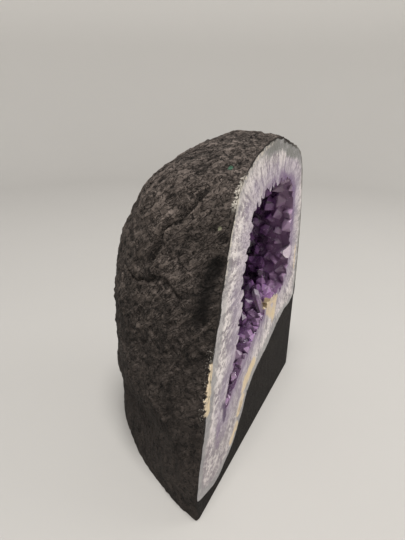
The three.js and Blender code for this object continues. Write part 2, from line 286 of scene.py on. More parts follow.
@dataclass
class PolarForm:
    """A rounded form behind the cut: its distance from a centre on the cut, by direction.

    Attributes:
        centre: The centre on the cut, as x, z.
        radii: Distances. Rows go from the front to the back, columns go round.
    """

    centre: Pair
    radii: np.ndarray

    @staticmethod
    def grid(rows: int, columns: int) -> tuple[np.ndarray, np.ndarray]:
        """Returns phi and psi for each place of a form with that many rows and columns."""
        phi = np.linspace(-math.pi, math.pi, columns, endpoint=False)
        return np.meshgrid(phi, np.linspace(0.0, math.pi / 2, rows))

    @classmethod
    def from_solids(cls, names: list[str], centre: Pair, rows: int, columns: int) -> "PolarForm":
        """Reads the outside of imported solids.

        Args:
            names: The solids.
            centre: A centre on the cut, inside them.
            rows: Number of rows.
            columns: Number of columns.

        Returns:
            The outside as a form.
        """
        points, faces = [], []
        for name in names:
            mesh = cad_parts[name].data
            first = len(points)
            points += [vertex.co.copy() for vertex in mesh.vertices]
            faces += [[index + first for index in face.vertices] for face in mesh.polygons]
        solids = BVHTree.FromPolygons(points, faces)
        phi, psi = cls.grid(rows, columns)
        first_row = math.radians(0.4)
        ways = unit_directions(phi, np.maximum(psi, first_row))
        return cls(centre, reach_to(solids, centre, ways, from_outside=True))

    @classmethod
    def from_outline(cls, outline: tuple[Pair, ...], centre: Pair, depth: float, fullness: float,
                     rows: int, columns: int, grow: float = 0.0) -> "PolarForm":
        """Rounds an outline on the cut off towards the back.

        Args:
            outline: Corner points on the cut as x, z.
            centre: A centre on the cut, inside the outline.
            depth: How far the form reaches behind the cut.
            fullness: 2 is an ellipse from front to back, more is squarer.
            rows: Number of rows.
            columns: Number of columns.
            grow: Added to the outline and to the depth.

        Returns:
            The rounded form.
        """
        phi, psi = cls.grid(rows, columns)
        front = outline_radius(outline, centre, phi) + grow
        sideways = np.abs(np.cos(psi) / front) ** fullness
        backward = np.abs(np.sin(psi) / (depth + grow)) ** fullness
        return cls(centre, (sideways + backward) ** (-1.0 / fullness))

    def smoothed(self, width: float) -> "PolarForm":
        """Rounds off facets that are narrower than about twice a width in degrees.

        Args:
            width: The width in degrees.

        Returns:
            The smoother form.
        """
        rows, columns = self.radii.shape
        step = 90.0 / (rows - 1)
        pad = int(3 * width / step)
        offsets = np.arange(-pad, pad + 1)
        weights = np.exp(-0.5 * (offsets * step / width) ** 2)
        weights /= weights.sum()
        ahead = 2 * self.radii[0] - self.radii[pad:0:-1]
        beyond = np.roll(self.radii[-2:-2 - pad:-1], columns // 2, axis=1)
        tall = np.vstack([ahead, self.radii, beyond])
        along = sum(w * tall[i:i + rows] for i, w in enumerate(weights))
        narrow = np.maximum(np.cos(np.linspace(0.0, math.pi / 2, rows)), 1e-3)
        waves = np.arange(columns // 2 + 1)
        damping = np.exp(-0.5 * (waves[None, :] * (math.radians(width) / narrow)[:, None]) ** 2)
        spectrum = np.fft.rfft(along, axis=1) * damping
        return PolarForm(self.centre, np.fft.irfft(spectrum, columns, axis=1))

    def grown(self, amount: np.ndarray | float) -> "PolarForm":
        """Returns the form with its surface moved outward."""
        return PolarForm(self.centre, self.radii + amount)

    def thinned(self, step: int) -> "PolarForm":
        """Returns the form with every step-th row and column alone."""
        return PolarForm(self.centre, self.radii[::step, ::step])

    def at(self, phi: float, psi: float) -> np.ndarray:
        """Finds the place on the surface in one direction.

        Args:
            phi: The direction round the front.
            psi: And from the front to the back.

        Returns:
            The place in millimetres.
        """
        rows, columns = self.radii.shape
        row = min(abs(psi) / (math.pi / 2) * (rows - 1), rows - 1.001)
        column = (phi + math.pi) / (2 * math.pi) * columns
        top, left = int(row), int(column) % columns
        right, down, across = (left + 1) % columns, row - top, column - int(column)
        upper = self.radii[top, left] * (1 - across) + self.radii[top, right] * across
        lower = self.radii[top + 1, left] * (1 - across) + self.radii[top + 1, right] * across
        reach = upper * (1 - down) + lower * down
        return on_cut(self.centre) + unit_directions(np.array(phi), np.array(psi)) * reach

    def without_underside(self, depth: float) -> "PolarForm":
        """Runs the upright side of a standing form on below the ground.

        Args:
            depth: How far below the ground the side ends.

        Returns:
            The longer form.
        """
        phi, psi = self.grid(*self.radii.shape)
        ways = unit_directions(phi, psi)
        height = self.centre[1] + ways[..., 2] * self.radii
        level = np.hypot(ways[..., 0], ways[..., 1])
        turn = np.arctan2(ways[..., 1], ways[..., 0])
        upright = (1.5, 9.0)
        side = (height > upright[0]) & (height < upright[1])
        order = np.argsort(turn[side])
        plan = np.interp(turn, turn[side][order], (self.radii * level)[side][order])
        limit = (self.centre[1] + depth) / np.maximum(-ways[..., 2], 1e-6)
        longer = np.minimum(plan / np.maximum(level, 1e-6), limit)
        underside = height < 1.0
        return PolarForm(self.centre, np.where(underside, np.maximum(longer, self.radii), self.radii))

    def with_sharp_front(self, height: float, angle: float) -> "PolarForm":
        """Fills up rounded corners at the cut by running the side on to it.

        Args:
            height: Height below which there are such corners.
            angle: Degrees behind the cut from which on the side is straight.

        Returns:
            The form with sharp corners.
        """
        rows, columns = self.radii.shape
        straight = int(round(angle / 90.0 * (rows - 1)))
        phi, _ = self.grid(rows, columns)
        low = self.centre[1] + np.sin(phi[0]) * self.radii[0] < height
        slope = (self.radii[straight + 3] - self.radii[straight]) / 3.0
        back = straight - np.arange(straight)[:, None]
        filled = self.radii.copy()
        filled[:straight] = np.where(low, self.radii[straight] - slope * back, filled[:straight])
        return PolarForm(self.centre, filled)

    def normals(self) -> np.ndarray:
        """Works out which way the surface faces.

        Returns:
            One direction for each row and column.
        """
        points = self.points()
        back = np.gradient(points, axis=0)
        round_it = np.roll(points, -1, axis=1) - np.roll(points, 1, axis=1)
        normals = np.cross(back, round_it)
        normals /= np.maximum(np.linalg.norm(normals, axis=-1, keepdims=True), 1e-9)
        outward = unit_directions(*self.grid(*self.radii.shape))
        return normals * np.sign((normals * outward).sum(axis=-1, keepdims=True))

    def points(self) -> np.ndarray:
        """Returns the places of the surface, rows by columns by 3."""
        ways = unit_directions(*self.grid(*self.radii.shape))
        return on_cut(self.centre) + ways * self.radii[..., None]

    def cells(self, points: np.ndarray) -> tuple[np.ndarray, np.ndarray, np.ndarray]:
        """Finds what part of the form lies behind places.

        Args:
            points: Places in millimetres, one row each.

        Returns:
            The nearest row and column for each, and its distance from the centre.
        """
        rows, columns = self.radii.shape
        away = points - on_cut(self.centre)
        reach = np.linalg.norm(away, axis=1)
        psi = np.arcsin(np.clip(away[:, 1] / reach, 0.0, 1.0))
        phi = np.arctan2(away[:, 2], away[:, 0])
        row = np.rint(psi / (math.pi / 2) * (rows - 1)).astype(int)
        column = np.rint((phi + math.pi) / (2 * math.pi) * columns).astype(int) % columns
        return row, column, reach

    def closed(self, name: str) -> Piece:
        """Makes the form as a closed mesh, with a straight collar in front of the cut.

        Args:
            name: Name of the mesh.

        Returns:
            The object that has the mesh.
        """
        points = self.points()
        rows, columns = self.radii.shape
        collar = points[0].copy()
        collar[:, 1] -= STOCK
        back = points[-1].mean(axis=0)
        front = collar.mean(axis=0)
        everything = np.vstack([collar, points[:-1].reshape(-1, 3), back[None], front[None]])
        last = (rows - 1) * columns
        tip, cap = rows * columns, rows * columns + 1
        pairs = [(i, (i + 1) % columns) for i in range(columns)]
        ends = [(last + i, tip, last + j) for i, j in pairs] + [(cap, i, j) for i, j in pairs]
        return make_mesh(name, everything, ring_faces(rows, columns) + ends)


@dataclass(frozen=True)
class Bed:
    """The surface between the stone and the cement that holds it.

    Attributes:
        line: Its height along the sawn front, as x, height.
        level: The height at which it would be level from front to back.
        rise: How far it climbs towards the back.
        depth: Depth of the stone over which it climbs.
        side: How far it is built to the left and right.
        back: And to the back.
        step: Size of its squares along the front and towards the back.
    """

    line: tuple[Pair, ...] = (
        (-153, 22), (-103, 18), (-97, 14), (-87, 10), (-77, 6.2), (-68, 6.2), (-62, 9), (-52, 12.2),
        (-46, 15.2), (-41, 19), (-37, 25), (-29, 32), (-25, 41), (-19, 46.5), (-8, 53.4), (3, 57),
        (18, 60), (26, 63), (42, 69.5), (62, 74.5), (77, 73), (97, 79), (147, 84),
    )
    level: float = 130.0
    rise: float = 62.0
    depth: float = 112.5
    side: float = 150.0
    back: float = 110.0
    step: Pair = (3.0, 4.0)

    def height(self, x: np.ndarray, y: np.ndarray) -> np.ndarray:
        """Works out the bed's height over places on the ground.

        Args:
            x: Places along the front.
            y: How far back they lie.

        Returns:
            The height at each.
        """
        front = np.interp(x, *np.array(self.line, float).T)
        share = np.clip((y - FRONT) / self.depth, 0.0, 1.0)
        return front + self.rise * share * (1.0 - front / self.level)

    def above(self, name: str, lift: float) -> Piece:
        """Makes everything above the bed, raised by lift, as a block.

        Args:
            name: Name of the block.
            lift: How far the bed is raised.

        Returns:
            The block.
        """
        xs = np.arange(-self.side, self.side + 1.0, self.step[0])
        ys = np.arange(FRONT - 2 * STOCK, self.back, self.step[1])
        x, y = np.meshgrid(xs, ys)
        floor = np.stack([x, y, self.height(x, y) + lift], axis=-1).reshape(-1, 3)
        roof = floor.copy()
        roof[:, 2] = FAR
        columns, rows = len(xs), len(ys)
        roof_first = rows * columns
        corner = (np.arange(rows - 1) * columns)[:, None] + np.arange(columns - 1)
        a, b, c, d = (corner.ravel() + shift for shift in (0, 1, columns, columns + 1))
        under, over = np.stack([a, c, d, b], axis=1), np.stack([a, b, d, c], axis=1) + roof_first
        faces = np.vstack([under, over]).tolist()
        edge = list(range(columns))
        edge += [row * columns + columns - 1 for row in range(1, rows)]
        edge += [(rows - 1) * columns + column for column in range(columns - 2, -1, -1)]
        edge += [row * columns for row in range(rows - 2, 0, -1)]
        for here, then in zip(edge, edge[1:] + edge[:1]):
            faces.append([here, then, then + roof_first, here + roof_first])
        return make_mesh(name, np.vstack([floor, roof]), faces)


# Shader arithmetic

@dataclass(frozen=True)
class Value:
    """A number that varies over a surface. Arithmetic on it adds Math nodes.

    Attributes:
        shader: The shader that its nodes go into.
        socket: The output that gives the number.
    """

    shader: "Shader"
    socket: Socket

    def math(self, operation: str, *others: "Value | float", clamp: bool = False) -> "Value":
        """Adds one Math node with this value and others as its inputs."""
        return self.shader.math(operation, self, *others, clamp=clamp)

    def __add__(self, other: "Value | float") -> "Value":
        """Returns the sum."""
        return self.math("ADD", other)

    __radd__ = __add__

    def __sub__(self, other: "Value | float") -> "Value":
        """Returns the difference."""
        return self.math("SUBTRACT", other)

    def __rsub__(self, other: float) -> "Value":
        """Returns a number minus this value."""
        return self.shader.math("SUBTRACT", other, self)

    def __mul__(self, other: "Value | float") -> "Value":
        """Returns the product."""
        return self.math("MULTIPLY", other)

    __rmul__ = __mul__

    def __truediv__(self, other: "Value | float") -> "Value":
        """Returns the quotient."""
        return self.math("DIVIDE", other)

    def __pow__(self, power: float) -> "Value":
        """Returns the value to a power."""
        return self.math("POWER", power)

    def clamped(self) -> "Value":
        """Returns the value held between 0 and 1."""
        return self.math("ADD", 0.0, clamp=True)

    def rising(self, low: float, high: float) -> "Value":
        """Returns 0 below low, 1 above high, and an eased rise between them."""
        ramp = self.shader.node("ShaderNodeMapRange", {"interpolation_type": "SMOOTHSTEP"},
                                {"Value": self, "From Min": low, "From Max": high})
        return Value(self.shader, ramp.outputs["Result"])

    def falling(self, low: float, high: float) -> "Value":
        """Returns 1 below low, 0 above high, and an eased fall between them."""
        return 1.0 - self.rising(low, high)


class Shader:
    """One material and the nodes in it."""

    def __init__(self, name: str) -> None:
        """Starts an empty material.

        Args:
            name: Name of the material.
        """
        self.material = bpy.data.materials.new(name)
        self.material.use_nodes = True
        self.tree = self.material.node_tree
        self.tree.nodes.clear()

    def node(self, kind: str, settings: dict | None = None, inputs: dict | None = None) -> bpy.types.Node:
        """Adds a node.

        Args:
            kind: The node's type.
            settings: Its own settings.
            inputs: Values or links for its sockets, by name or number.

        Returns:
            The node.
        """
        made = self.tree.nodes.new(kind)
        for key, setting in (settings or {}).items():
            setattr(made, key, setting)
        for key, given in (inputs or {}).items():
            socket = made.inputs[key]
            if isinstance(given, Value):
                self.tree.links.new(given.socket, socket)
            elif isinstance(given, Socket):
                self.tree.links.new(given, socket)
            else:
                socket.default_value = given
        return made

    def math(self, operation: str, *numbers: Value | float, clamp: bool = False) -> Value:
        """Adds a Math node.

        Args:
            operation: What it does.
            numbers: Its inputs in order.
            clamp: Whether the result is held between 0 and 1.

        Returns:
            The result.
        """
        settings = {"operation": operation, "use_clamp": clamp}
        return Value(self, self.node("ShaderNodeMath", settings, dict(enumerate(numbers))).outputs[0])

    def vector_math(self, operation: str, *vectors: object) -> Socket:
        """Adds a Vector Math node and returns its vector output."""
        made = self.node("ShaderNodeVectorMath", {"operation": operation}, dict(enumerate(vectors)))
        return made.outputs["Vector"]

    def measure(self, operation: str, *vectors: object) -> Value:
        """Adds a Vector Math node and returns the number that it gives."""
        made = self.node("ShaderNodeVectorMath", {"operation": operation}, dict(enumerate(vectors)))
        return Value(self, made.outputs["Value"])

    def place(self) -> Socket:
        """Returns the place on the surface in millimetres."""
        where = self.node("ShaderNodeTexCoord").outputs["Object"]
        return self.vector_math("MULTIPLY", where, (1 / MM,) * 3)

    def parts(self, vector: Socket) -> tuple[Value, Value, Value]:
        """Returns x, y and z of a vector."""
        split = self.node("ShaderNodeSeparateXYZ", None, {0: vector})
        return tuple(Value(self, output) for output in split.outputs)

    def vector(self, x: Value | float, y: Value | float, z: Value | float) -> Socket:
        """Returns a vector from three numbers."""
        return self.node("ShaderNodeCombineXYZ", None, {0: x, 1: y, 2: z}).outputs[0]

    def stored(self, name: str) -> Value:
        """Returns a number that the mesh keeps for each vertex."""
        return Value(self, self.node("ShaderNodeAttribute", {"attribute_name": name}).outputs["Fac"])

    def noise(self, where: Socket, size: float, detail: float = 3.0, rough: float = 0.55,
              warp: float = 0.0) -> Value:
        """Adds noise.

        Args:
            where: Places in millimetres.
            size: Spacing of its bumps in millimetres.
            detail: Number of finer layers.
            rough: Strength of each finer layer.
            warp: How far it is distorted.

        Returns:
            A value round 0.5.
        """
        inputs = {"Vector": where, "Scale": 1.0 / size, "Detail": detail,
                  "Roughness": rough, "Distortion": warp}
        return Value(self, self.node("ShaderNodeTexNoise", None, inputs).outputs["Fac"])

    def mix(self, mask: Value | float, under: object, over: object) -> Socket:
        """Lays one colour over another.

        Args:
            mask: Share of the upper colour.
            under: The lower colour.
            over: The upper colour.

        Returns:
            The blend.
        """
        settings = {"data_type": "RGBA", "clamp_factor": True}
        made = self.node("ShaderNodeMix", settings, {0: mask, 6: colour(under), 7: colour(over)})
        return made.outputs[2]

    def coats(self, under: object, *coats: tuple[Value | float, object]) -> Socket:
        """Lays several colours over one another.

        Args:
            under: The lowest colour.
            coats: A mask and a colour for each of the others, upwards.

        Returns:
            The blend.
        """
        for mask, over in coats:
            under = self.mix(mask, under, over)
        return under

    def bump(self, height: Value, distance: float) -> Socket:
        """Returns normals that are tilted by a height from 0 to 1, where 1 is a distance in millimetres."""
        inputs = {"Height": height, "Distance": distance * MM, "Strength": 1.0}
        return self.node("ShaderNodeBump", None, inputs).outputs[0]

    def finish(self, inputs: dict, absorption: dict | None = None) -> Material:
        """Ends the material with one principled shader.

        Args:
            inputs: Values and links of its sockets.
            absorption: Colour and density of what lies under a clear surface.

        Returns:
            The material.
        """
        surface = self.node("ShaderNodeBsdfPrincipled", None, inputs)
        output = self.node("ShaderNodeOutputMaterial")
        self.tree.links.new(surface.outputs[0], output.inputs["Surface"])
        if absorption is not None:
            inside = self.node("ShaderNodeVolumeAbsorption", None, absorption)
            self.tree.links.new(inside.outputs[0], output.inputs["Volume"])
        return self.material


def colour(given: object) -> object:
    """Returns a colour with its alpha, or a link as it is."""
    return (*given, 1.0) if isinstance(given, tuple) and len(given) == 3 else given


def streak(shader: Shader, x: Value, z: Value, start: Pair, end: Pair) -> Value:
    """Distance in millimetres on the sawn front from a straight streak.

    Args:
        shader: The shader that the nodes go into.
        x: Place along the front.
        z: Height on the front.
        start: One end of the streak.
        end: Its other end.

    Returns:
        The distance.
    """
    along = (end[0] - start[0], end[1] - start[1])
    length_squared = max(along[0] ** 2 + along[1] ** 2, 1e-6)
    from_x, from_z = x - start[0], z - start[1]
    share = ((from_x * along[0] + from_z * along[1]) / length_squared).clamped()
    off_x, off_z = from_x - share * along[0], from_z - share * along[1]
    return (off_x * off_x + off_z * off_z) ** 0.5


# Finishes

@dataclass(frozen=True)
class MattBlackPaint:
    """Matt charcoal paint on rock or cement, worn paler on what stands proud, with painted light and shade
    laid on its relief.

    Attributes:
        paint: Colour of the paint.
        hollow: Near-black laid as painted shade in creases, pits, the furrow, beside the cut and towards the
            foot, and as the darker paint of blotches and of the cement front.
        rubbed_and_lit: Paler colour on the ridges: worn paint, and painted light on what faces up.
        cream: Bare limestone where the paint ends at the cut.
        ochre: Its darker core.
        crumb: Bare quartz there.
        bare_rind: The rind where the saw laid it bare on the right.
        green: A green mineral speck near the top.
        olive: A paler one beside the cut.
        grain: Height of the fine grain in millimetres.
        roughness: How matt it is.
        shine: Strength of what little it reflects.
    """

    paint: Colour = (0.0900, 0.0725, 0.0630)
    hollow: Colour = (0.0070, 0.0055, 0.0048)
    rubbed_and_lit: Colour = (0.2150, 0.1750, 0.1530)
    cream: Colour = (0.82, 0.68, 0.49)
    ochre: Colour = (0.50, 0.30, 0.13)
    crumb: Colour = (0.52, 0.48, 0.42)
    bare_rind: Colour = (0.24, 0.23, 0.21)
    green: Colour = (0.095, 0.220, 0.145)
    olive: Colour = (0.300, 0.300, 0.200)
    grain: float = 3.4
    roughness: float = 0.78
    shine: float = 0.15

    def material(self, name: str) -> Material:
        """Builds the paint.

        Args:
            name: Name of the material.

        Returns:
            The material.
        """
        shader = Shader(name)
        place = shader.place()
        x, y, z = shader.parts(place)
        relief = shader.stored("relief")
        behind = y - FRONT
        cloud = shader.noise(place, 24.0, 3.0)
        grain = shader.noise(place, 1.9, 3.0, 0.65)
        pits = shader.noise(place, 2.8, 2.0, 0.6, 1.0)
        slope = math.radians(CoarseSkin.slope)
        along = z * math.sin(slope) - y * math.cos(slope)
        across = z * math.cos(slope) + y * math.sin(slope)
        pebbles = shader.noise(shader.vector(x / 2.3, along / 7.0, across / 2.3), 1.0, 4.0, 0.68, 0.4)
        drips = shader.noise(shader.vector(x / 2.4, (y - z * 0.35) / 2.4, z / 15.0), 1.0, 4.0, 0.66, 0.4)
        smooth = z.falling(95.0, 140.0)
        pebbles = pebbles + (drips - pebbles) * smooth * 0.75
        wrinkled = shader.noise(shader.vector(x / 3.4, along / 15.0, across / 3.4), 1.0, 4.0, 0.62, 0.4)
        lined = behind.rising(0.0, 1.0) * (0.45 + z.rising(60.0, 130.0) * 0.55)
        crease = (wrinkled - 0.49).math("ABSOLUTE").falling(0.0, 0.035) * lined
        ridge = (wrinkled - 0.55).math("ABSOLUTE").falling(0.0, 0.040) * lined
        # How far the relief faces up: painted light above, painted shade below.
        upward = shader.stored("upward")
        fine = 0.88 - smooth * 0.38
        # Painted shade: darker where the relief sinks or faces down.
        low = ((relief * 1.1 + upward * 2.3 + (pebbles - 0.5) * 2.2) * fine).falling(-1.1, 0.1)
        # Painted light where the relief stands proud or faces up, with worn paint on the ridges.
        high = (relief * 0.5 + upward * 2.8 + (pebbles - 0.5) * 2.6) * fine
        high = (high + (cloud - 0.5) * 2.4).rising(-0.3, 1.5)
        patches = shader.noise(shader.vector(x / 9.0, y / 9.0, z / 16.0), 1.0, 3.0, 0.6)
        # Painted shade on the side beside the cut.
        shaded = behind.falling(4.0, 30.0) * z.rising(85.0, 120.0) * z.falling(190.0, 215.0)
        valley = streak(shader, y, z, (-41.5, 167.0), (-36.5, 136.0)) + (pebbles - 0.5) * 8.0
        front = behind.falling(0.05, 0.3)
        brushed = shader.noise(shader.vector(x / 1.6, behind, z / 14.0), 1.0, 3.0)
        blotched = patches.falling(0.38, 0.50) * z.falling(130.0, 200.0)
        # Painted shade in the pits.
        pit_shade = pits.falling(0.37, 0.43) * behind.rising(0.0, 1.0)
        # Painted shade in the furrow beside the cut.
        furrow_shade = valley.falling(2.0, 7.0) * x.falling(-60.0, -55.0)
        # Painted shade: the paint is laid darker towards the foot.
        shade_towards_foot = z.falling(55.0, 214.0)
        darker = 0.72 + z.falling(0.0, 75.0) * 0.12 + (brushed - 0.5) * 0.8
        laid_bare = front * x.rising(30.0, 62.0) * z.rising(84.0, 96.0)
        tone = shader.coats(
            self.paint,
            (low * 0.75, self.hollow),
            # Paler ridges: worn paint, and painted light on what faces up.
            (high * 0.58 + ridge * fine * 0.36 + (grain - 0.5) * fine * 2.2, self.rubbed_and_lit),
            # Painted shade in the wrinkles' creases.
            (crease * fine * 0.8, self.hollow),
            (blotched * 0.45, self.hollow),
            (pit_shade * 0.8, self.hollow),
            (shaded * 0.44, self.hollow),
            (furrow_shade * 0.75, self.hollow),
            (shade_towards_foot * 0.60, self.hollow),
            (front * darker, self.hollow),
            (laid_bare * 0.9, self.bare_rind),
        )
        tone = self._bare_stone(shader, tone, place)
        height = grain * 0.4 + pebbles * 0.4 - pits.falling(0.36, 0.46) * 0.3 - crease * 0.3 + ridge * 0.3
        rough = self.roughness + (grain - 0.5) * 0.3
        return shader.finish({
            "Base Color": tone, "Roughness": rough, "Normal": shader.bump(height, self.grain),
            "Specular IOR Level": self.shine,
        })

    def _bare_stone(self, shader: Shader, tone: Socket, place: Socket) -> Socket:
        """Adds what the paint leaves bare: crumbs by the cut, specks, and the cream stone on the left.

        Args:
            shader: The shader that the nodes go into.
            tone: The colour so far.
            place: The place on the surface.

        Returns:
            The new colour.
        """
        x, y, z = shader.parts(place)
        behind = y - FRONT
        fleck = shader.noise(place, 1.5, 2.0, 0.7)
        ragged = shader.noise(place, 3.2, 4.0, 0.7)
        edge = behind + (ragged - 0.5) * 7.0
        beside = streak(shader, x, z, (-87.0, 84.0), (-84.0, 108.0))
        limestone = edge.falling(0.2, 1.0) * (beside + (ragged - 0.5) * 8.0).falling(4.6, 6.6)
        core = (streak(shader, x, z, (-90.0, 96.0), (-89.0, 105.0)) + (ragged - 0.5) * 5.0).falling(2.2, 3.8)
        spatter = fleck.rising(0.60, 0.64) * (behind + (ragged - 0.5) * 6.0).falling(2.5, 5.0)
        near = (behind + (ragged - 0.5) * 7.0).falling(1.2, 2.4)
        upper_left = z.rising(194.0, 201.0) * z.falling(209.0, 216.0) * x.falling(-30.0, -20.0)
        tone = shader.coats(
            tone,
            (limestone, self.cream),
            (core * limestone * behind.rising(0.2, 1.5) * 0.8, self.ochre),
            (spatter * beside.falling(8.0, 18.0) * 0.8, self.crumb),
            (near * fleck.rising(0.42, 0.50) * upper_left * 0.9, self.crumb),
        )
        specks = (
            ((-44.6, -37.8, 216.8), 1.6, self.green), ((-41.8, -40.8, 218.2), 0.6, self.crumb),
            ((-64.4, -41.5, 187.0), 1.2, self.olive), ((-66.4, -44.5, 184.5), 0.7, self.crumb),
            ((-77.2, -23.3, 144.8), 0.3, self.crumb), ((-81.0, -22.6, 132.0), 0.3, self.crumb),
        )
        for centre, width, paint in specks:
            distance = shader.measure("LENGTH", shader.vector_math("SUBTRACT", place, centre))
            speck = (distance + (fleck - 0.5) * width * 1.5).falling(width - 0.3, width + 0.3)
            tone = shader.mix(speck * 0.85, tone, paint)
        return tone


@dataclass(frozen=True)
class SawnQuartz:
    """Pale fibrous quartz on the sawn face, with its grey band, cream stone and purple tinge.

    Attributes:
        centre: Where the fibres point, as x, z.
        pale: Colour of most of it.
        milk: Colour of the milky fibres.
        shade: Colour of the clear quartz between them.
        grey: Colour of the chalcedony along the skin.
        lilac: Colour near the hollow.
        purple: Colour of the amethyst that runs through it.
        cream: Colour of the limestone beside it.
        bark: Colour of the limestone's darker cores.
        soot: Colour of the paint that ran over the edge.
        smoke: Colour of the darkest chalcedony.
        granular: Colour of the bruised edge at the upper left.
        deep: Painted shade in the slit below the hollow's tail.
        rose: Colour of the pale tooth on the right.
        index: How strongly it bends light.
    """

    centre: Pair = (12.0, 150.0)
    pale: Colour = (0.57, 0.515, 0.515)
    milk: Colour = (0.86, 0.800, 0.780)
    shade: Colour = (0.24, 0.205, 0.225)
    grey: Colour = (0.27, 0.268, 0.272)
    lilac: Colour = (0.335, 0.265, 0.400)
    purple: Colour = (0.120, 0.045, 0.165)
    cream: Colour = (0.74, 0.59, 0.37)
    bark: Colour = (0.40, 0.27, 0.14)
    soot: Colour = (0.030, 0.024, 0.022)
    smoke: Colour = (0.150, 0.150, 0.135)
    granular: Colour = (0.66, 0.60, 0.51)
    deep: Colour = (0.045, 0.012, 0.070)
    rose: Colour = (0.57, 0.44, 0.58)
    index: float = 1.54

    def material(self, name: str) -> Material:
        """Builds the sawn quartz.

        Args:
            name: Name of the material.

        Returns:
            The material.
        """
        shader = Shader(name)
        place = shader.place()
        x, _, z = shader.parts(place)
        rim, skin = shader.stored("rim"), shader.stored("skin")
        away_x, away_z = x - self.centre[0], z - self.centre[1]
        reach = (away_x * away_x + away_z * away_z) ** 0.5
        round_x, round_z = away_x / reach * 75.0, away_z / reach * 75.0
        long_fan = shader.vector(round_x, reach * 0.26, round_z)
        short_fan = shader.vector(round_x, reach * 0.65, round_z)
        fibre = shader.noise(long_fan, 3.4, 4.0, 0.65, 0.5)
        sugar = shader.noise(short_fan, 2.3, 4.0, 0.72, 0.3)
        broad = shader.noise(long_fan, 8.0, 3.0, 0.6)
        grain = shader.noise(place, 1.9, 3.0, 0.7)
        cloud = shader.noise(place, 11.0, 3.0, 0.6)

        mottled = fibre * 0.30 + sugar * 0.30 + broad * 0.20 + cloud * 0.20
        inner = skin.rising(6.0, 15.0) * rim.rising(2.0, 14.0)
        left = z.rising(105.0, 140.0) * z.falling(185.0, 205.0) * x.falling(-25.0, 5.0)
        milky = (sugar * 0.50 + broad * 0.35 + grain * 0.15 + inner * 0.03 + left * 0.015).rising(0.49, 0.57)
        streaky = z.falling(30.0, 100.0) * x.falling(-45.0, -15.0)
        dull = 0.15 + sugar.falling(0.42, 0.58) * 0.5 + broad.falling(0.42, 0.58) * 0.3
        at_the_foot = z.falling(10.0, 50.0)
        tinge = (rim + (fibre - 0.5) * 18.0 + (cloud - 0.5) * 30.0).falling(-6.0, 14.0)
        tone = shader.coats(
            self.shade,
            (mottled.rising(0.44, 0.53), self.pale),
            (milky * (0.55 + inner * 0.35 + left * 0.25), self.milk),
            (streaky * dull, self.shade),
            (at_the_foot * 0.22, self.shade),
            (tinge * (0.1 + sugar * 0.7), self.lilac),
        )
        tone = self._grey_band(shader, tone, skin, cloud, sugar, x, z)
        tone = self._purple_marks(shader, tone, rim, fibre, grain, x, z)
        tone = self._cream_marks(shader, tone, shader.noise(place, 5.0, 3.0), x, z)
        ragged = shader.noise(place, 4.5, 4.0, 0.7)
        sugared = (skin + (ragged - 0.5) * 6.0).falling(1.0, 4.0)
        sugared = sugared * z.rising(140.0, 175.0) * x.falling(-20.0, 10.0)
        overrun = (skin + (ragged - 0.5) * 12.0).falling(-0.4, 0.3)
        overrun = overrun * z.rising(20.0, 40.0) * x.falling(45.0, 60.0)
        tone = shader.coats(tone, (sugared * sugar.rising(0.42, 0.58), self.granular), (overrun, self.soot))
        rough = 0.45 + (grain - 0.5) * 0.4
        normal = shader.bump(sugar * 0.6 + fibre * 0.4, 1.6)
        return shader.finish({
            "Base Color": tone, "Roughness": rough, "Normal": normal, "IOR": self.index,
            "Specular IOR Level": 0.5,
        })

    def _grey_band(self, shader: Shader, tone: Socket, skin: Value, cloud: Value,
                   sugar: Value, x: Value, z: Value) -> Socket:
        """Adds the grey chalcedony along the skin, which is widest at the foot and the top right.

        Args:
            shader: The shader that the nodes go into.
            tone: The colour so far.
            skin: Distance from the rock skin.
            cloud: Broad noise.
            sugar: Fine noise along the fibres.
            x: Place along the front.
            z: Height on the front.

        Returns:
            The new colour.
        """
        top_right = z.rising(190.0, 215.0) * x.rising(-35.0, 0.0)
        right = x.rising(45.0, 60.0) * z.falling(198.0, 214.0)
        wide = z.falling(150.0, 176.0) * 4.0 + top_right * 3.0 + 4.0
        wide = wide - right * 4.0 - z.falling(35.0, 65.0) * 3.0
        band = (skin + (cloud - 0.5) * 9.0 + (sugar - 0.5) * 6.0 - wide).falling(-2.0, 3.0)
        dark = band * top_right * x.falling(55.0, 75.0) * (cloud * 0.5 + sugar * 0.5).falling(0.47, 0.60)
        strength = z.falling(100.0, 140.0) * 0.25 + top_right * 0.35 + 0.5
        return shader.coats(tone, (band * strength, self.grey), (dark * 0.8, self.smoke))

    def _purple_marks(self, shader: Shader, tone: Socket, rim: Value, fibre: Value, grain: Value,
                      x: Value, z: Value) -> Socket:
        """Adds the purple that runs through the quartz past the ends of the hollow, painted shade in the slit
        below its tail, and the tooth.

        Args:
            shader: The shader that the nodes go into.
            tone: The colour so far.
            rim: Distance from the pocket's rim.
            fibre: Noise along the fibres.
            grain: Fine noise.
            x: Place along the front.
            z: Height on the front.

        Returns:
            The new colour.
        """
        wobble = (fibre - 0.5) * 9.0 + (grain - 0.5) * 4.0
        marks = (
            ((-72.6, 63.6), (-72.5, 40.0), 1.6, 0.40),
            ((20.0, 201.0), (50.0, 186.0), 5.0, 0.60),
            ((56.0, 186.0), (61.0, 152.0), 3.5, 0.50),
            ((-14.0, 197.5), (8.0, 201.0), 2.6, 0.45),
            ((-57.0, 78.0), (-56.0, 71.0), 2.4, 0.80),
        )
        for start, end, width, strength in marks:
            mark = (streak(shader, x, z, start, end) + wobble).falling(width - 2.0, width + 2.2)
            tone = shader.mix(mark * strength, tone, self.purple)
        spread = (x.rising(0.0, 30.0) + z.falling(95.0, 110.0)).clamped()
        tips = (rim + wobble * 0.6).falling(-9.0, -2.5) * spread
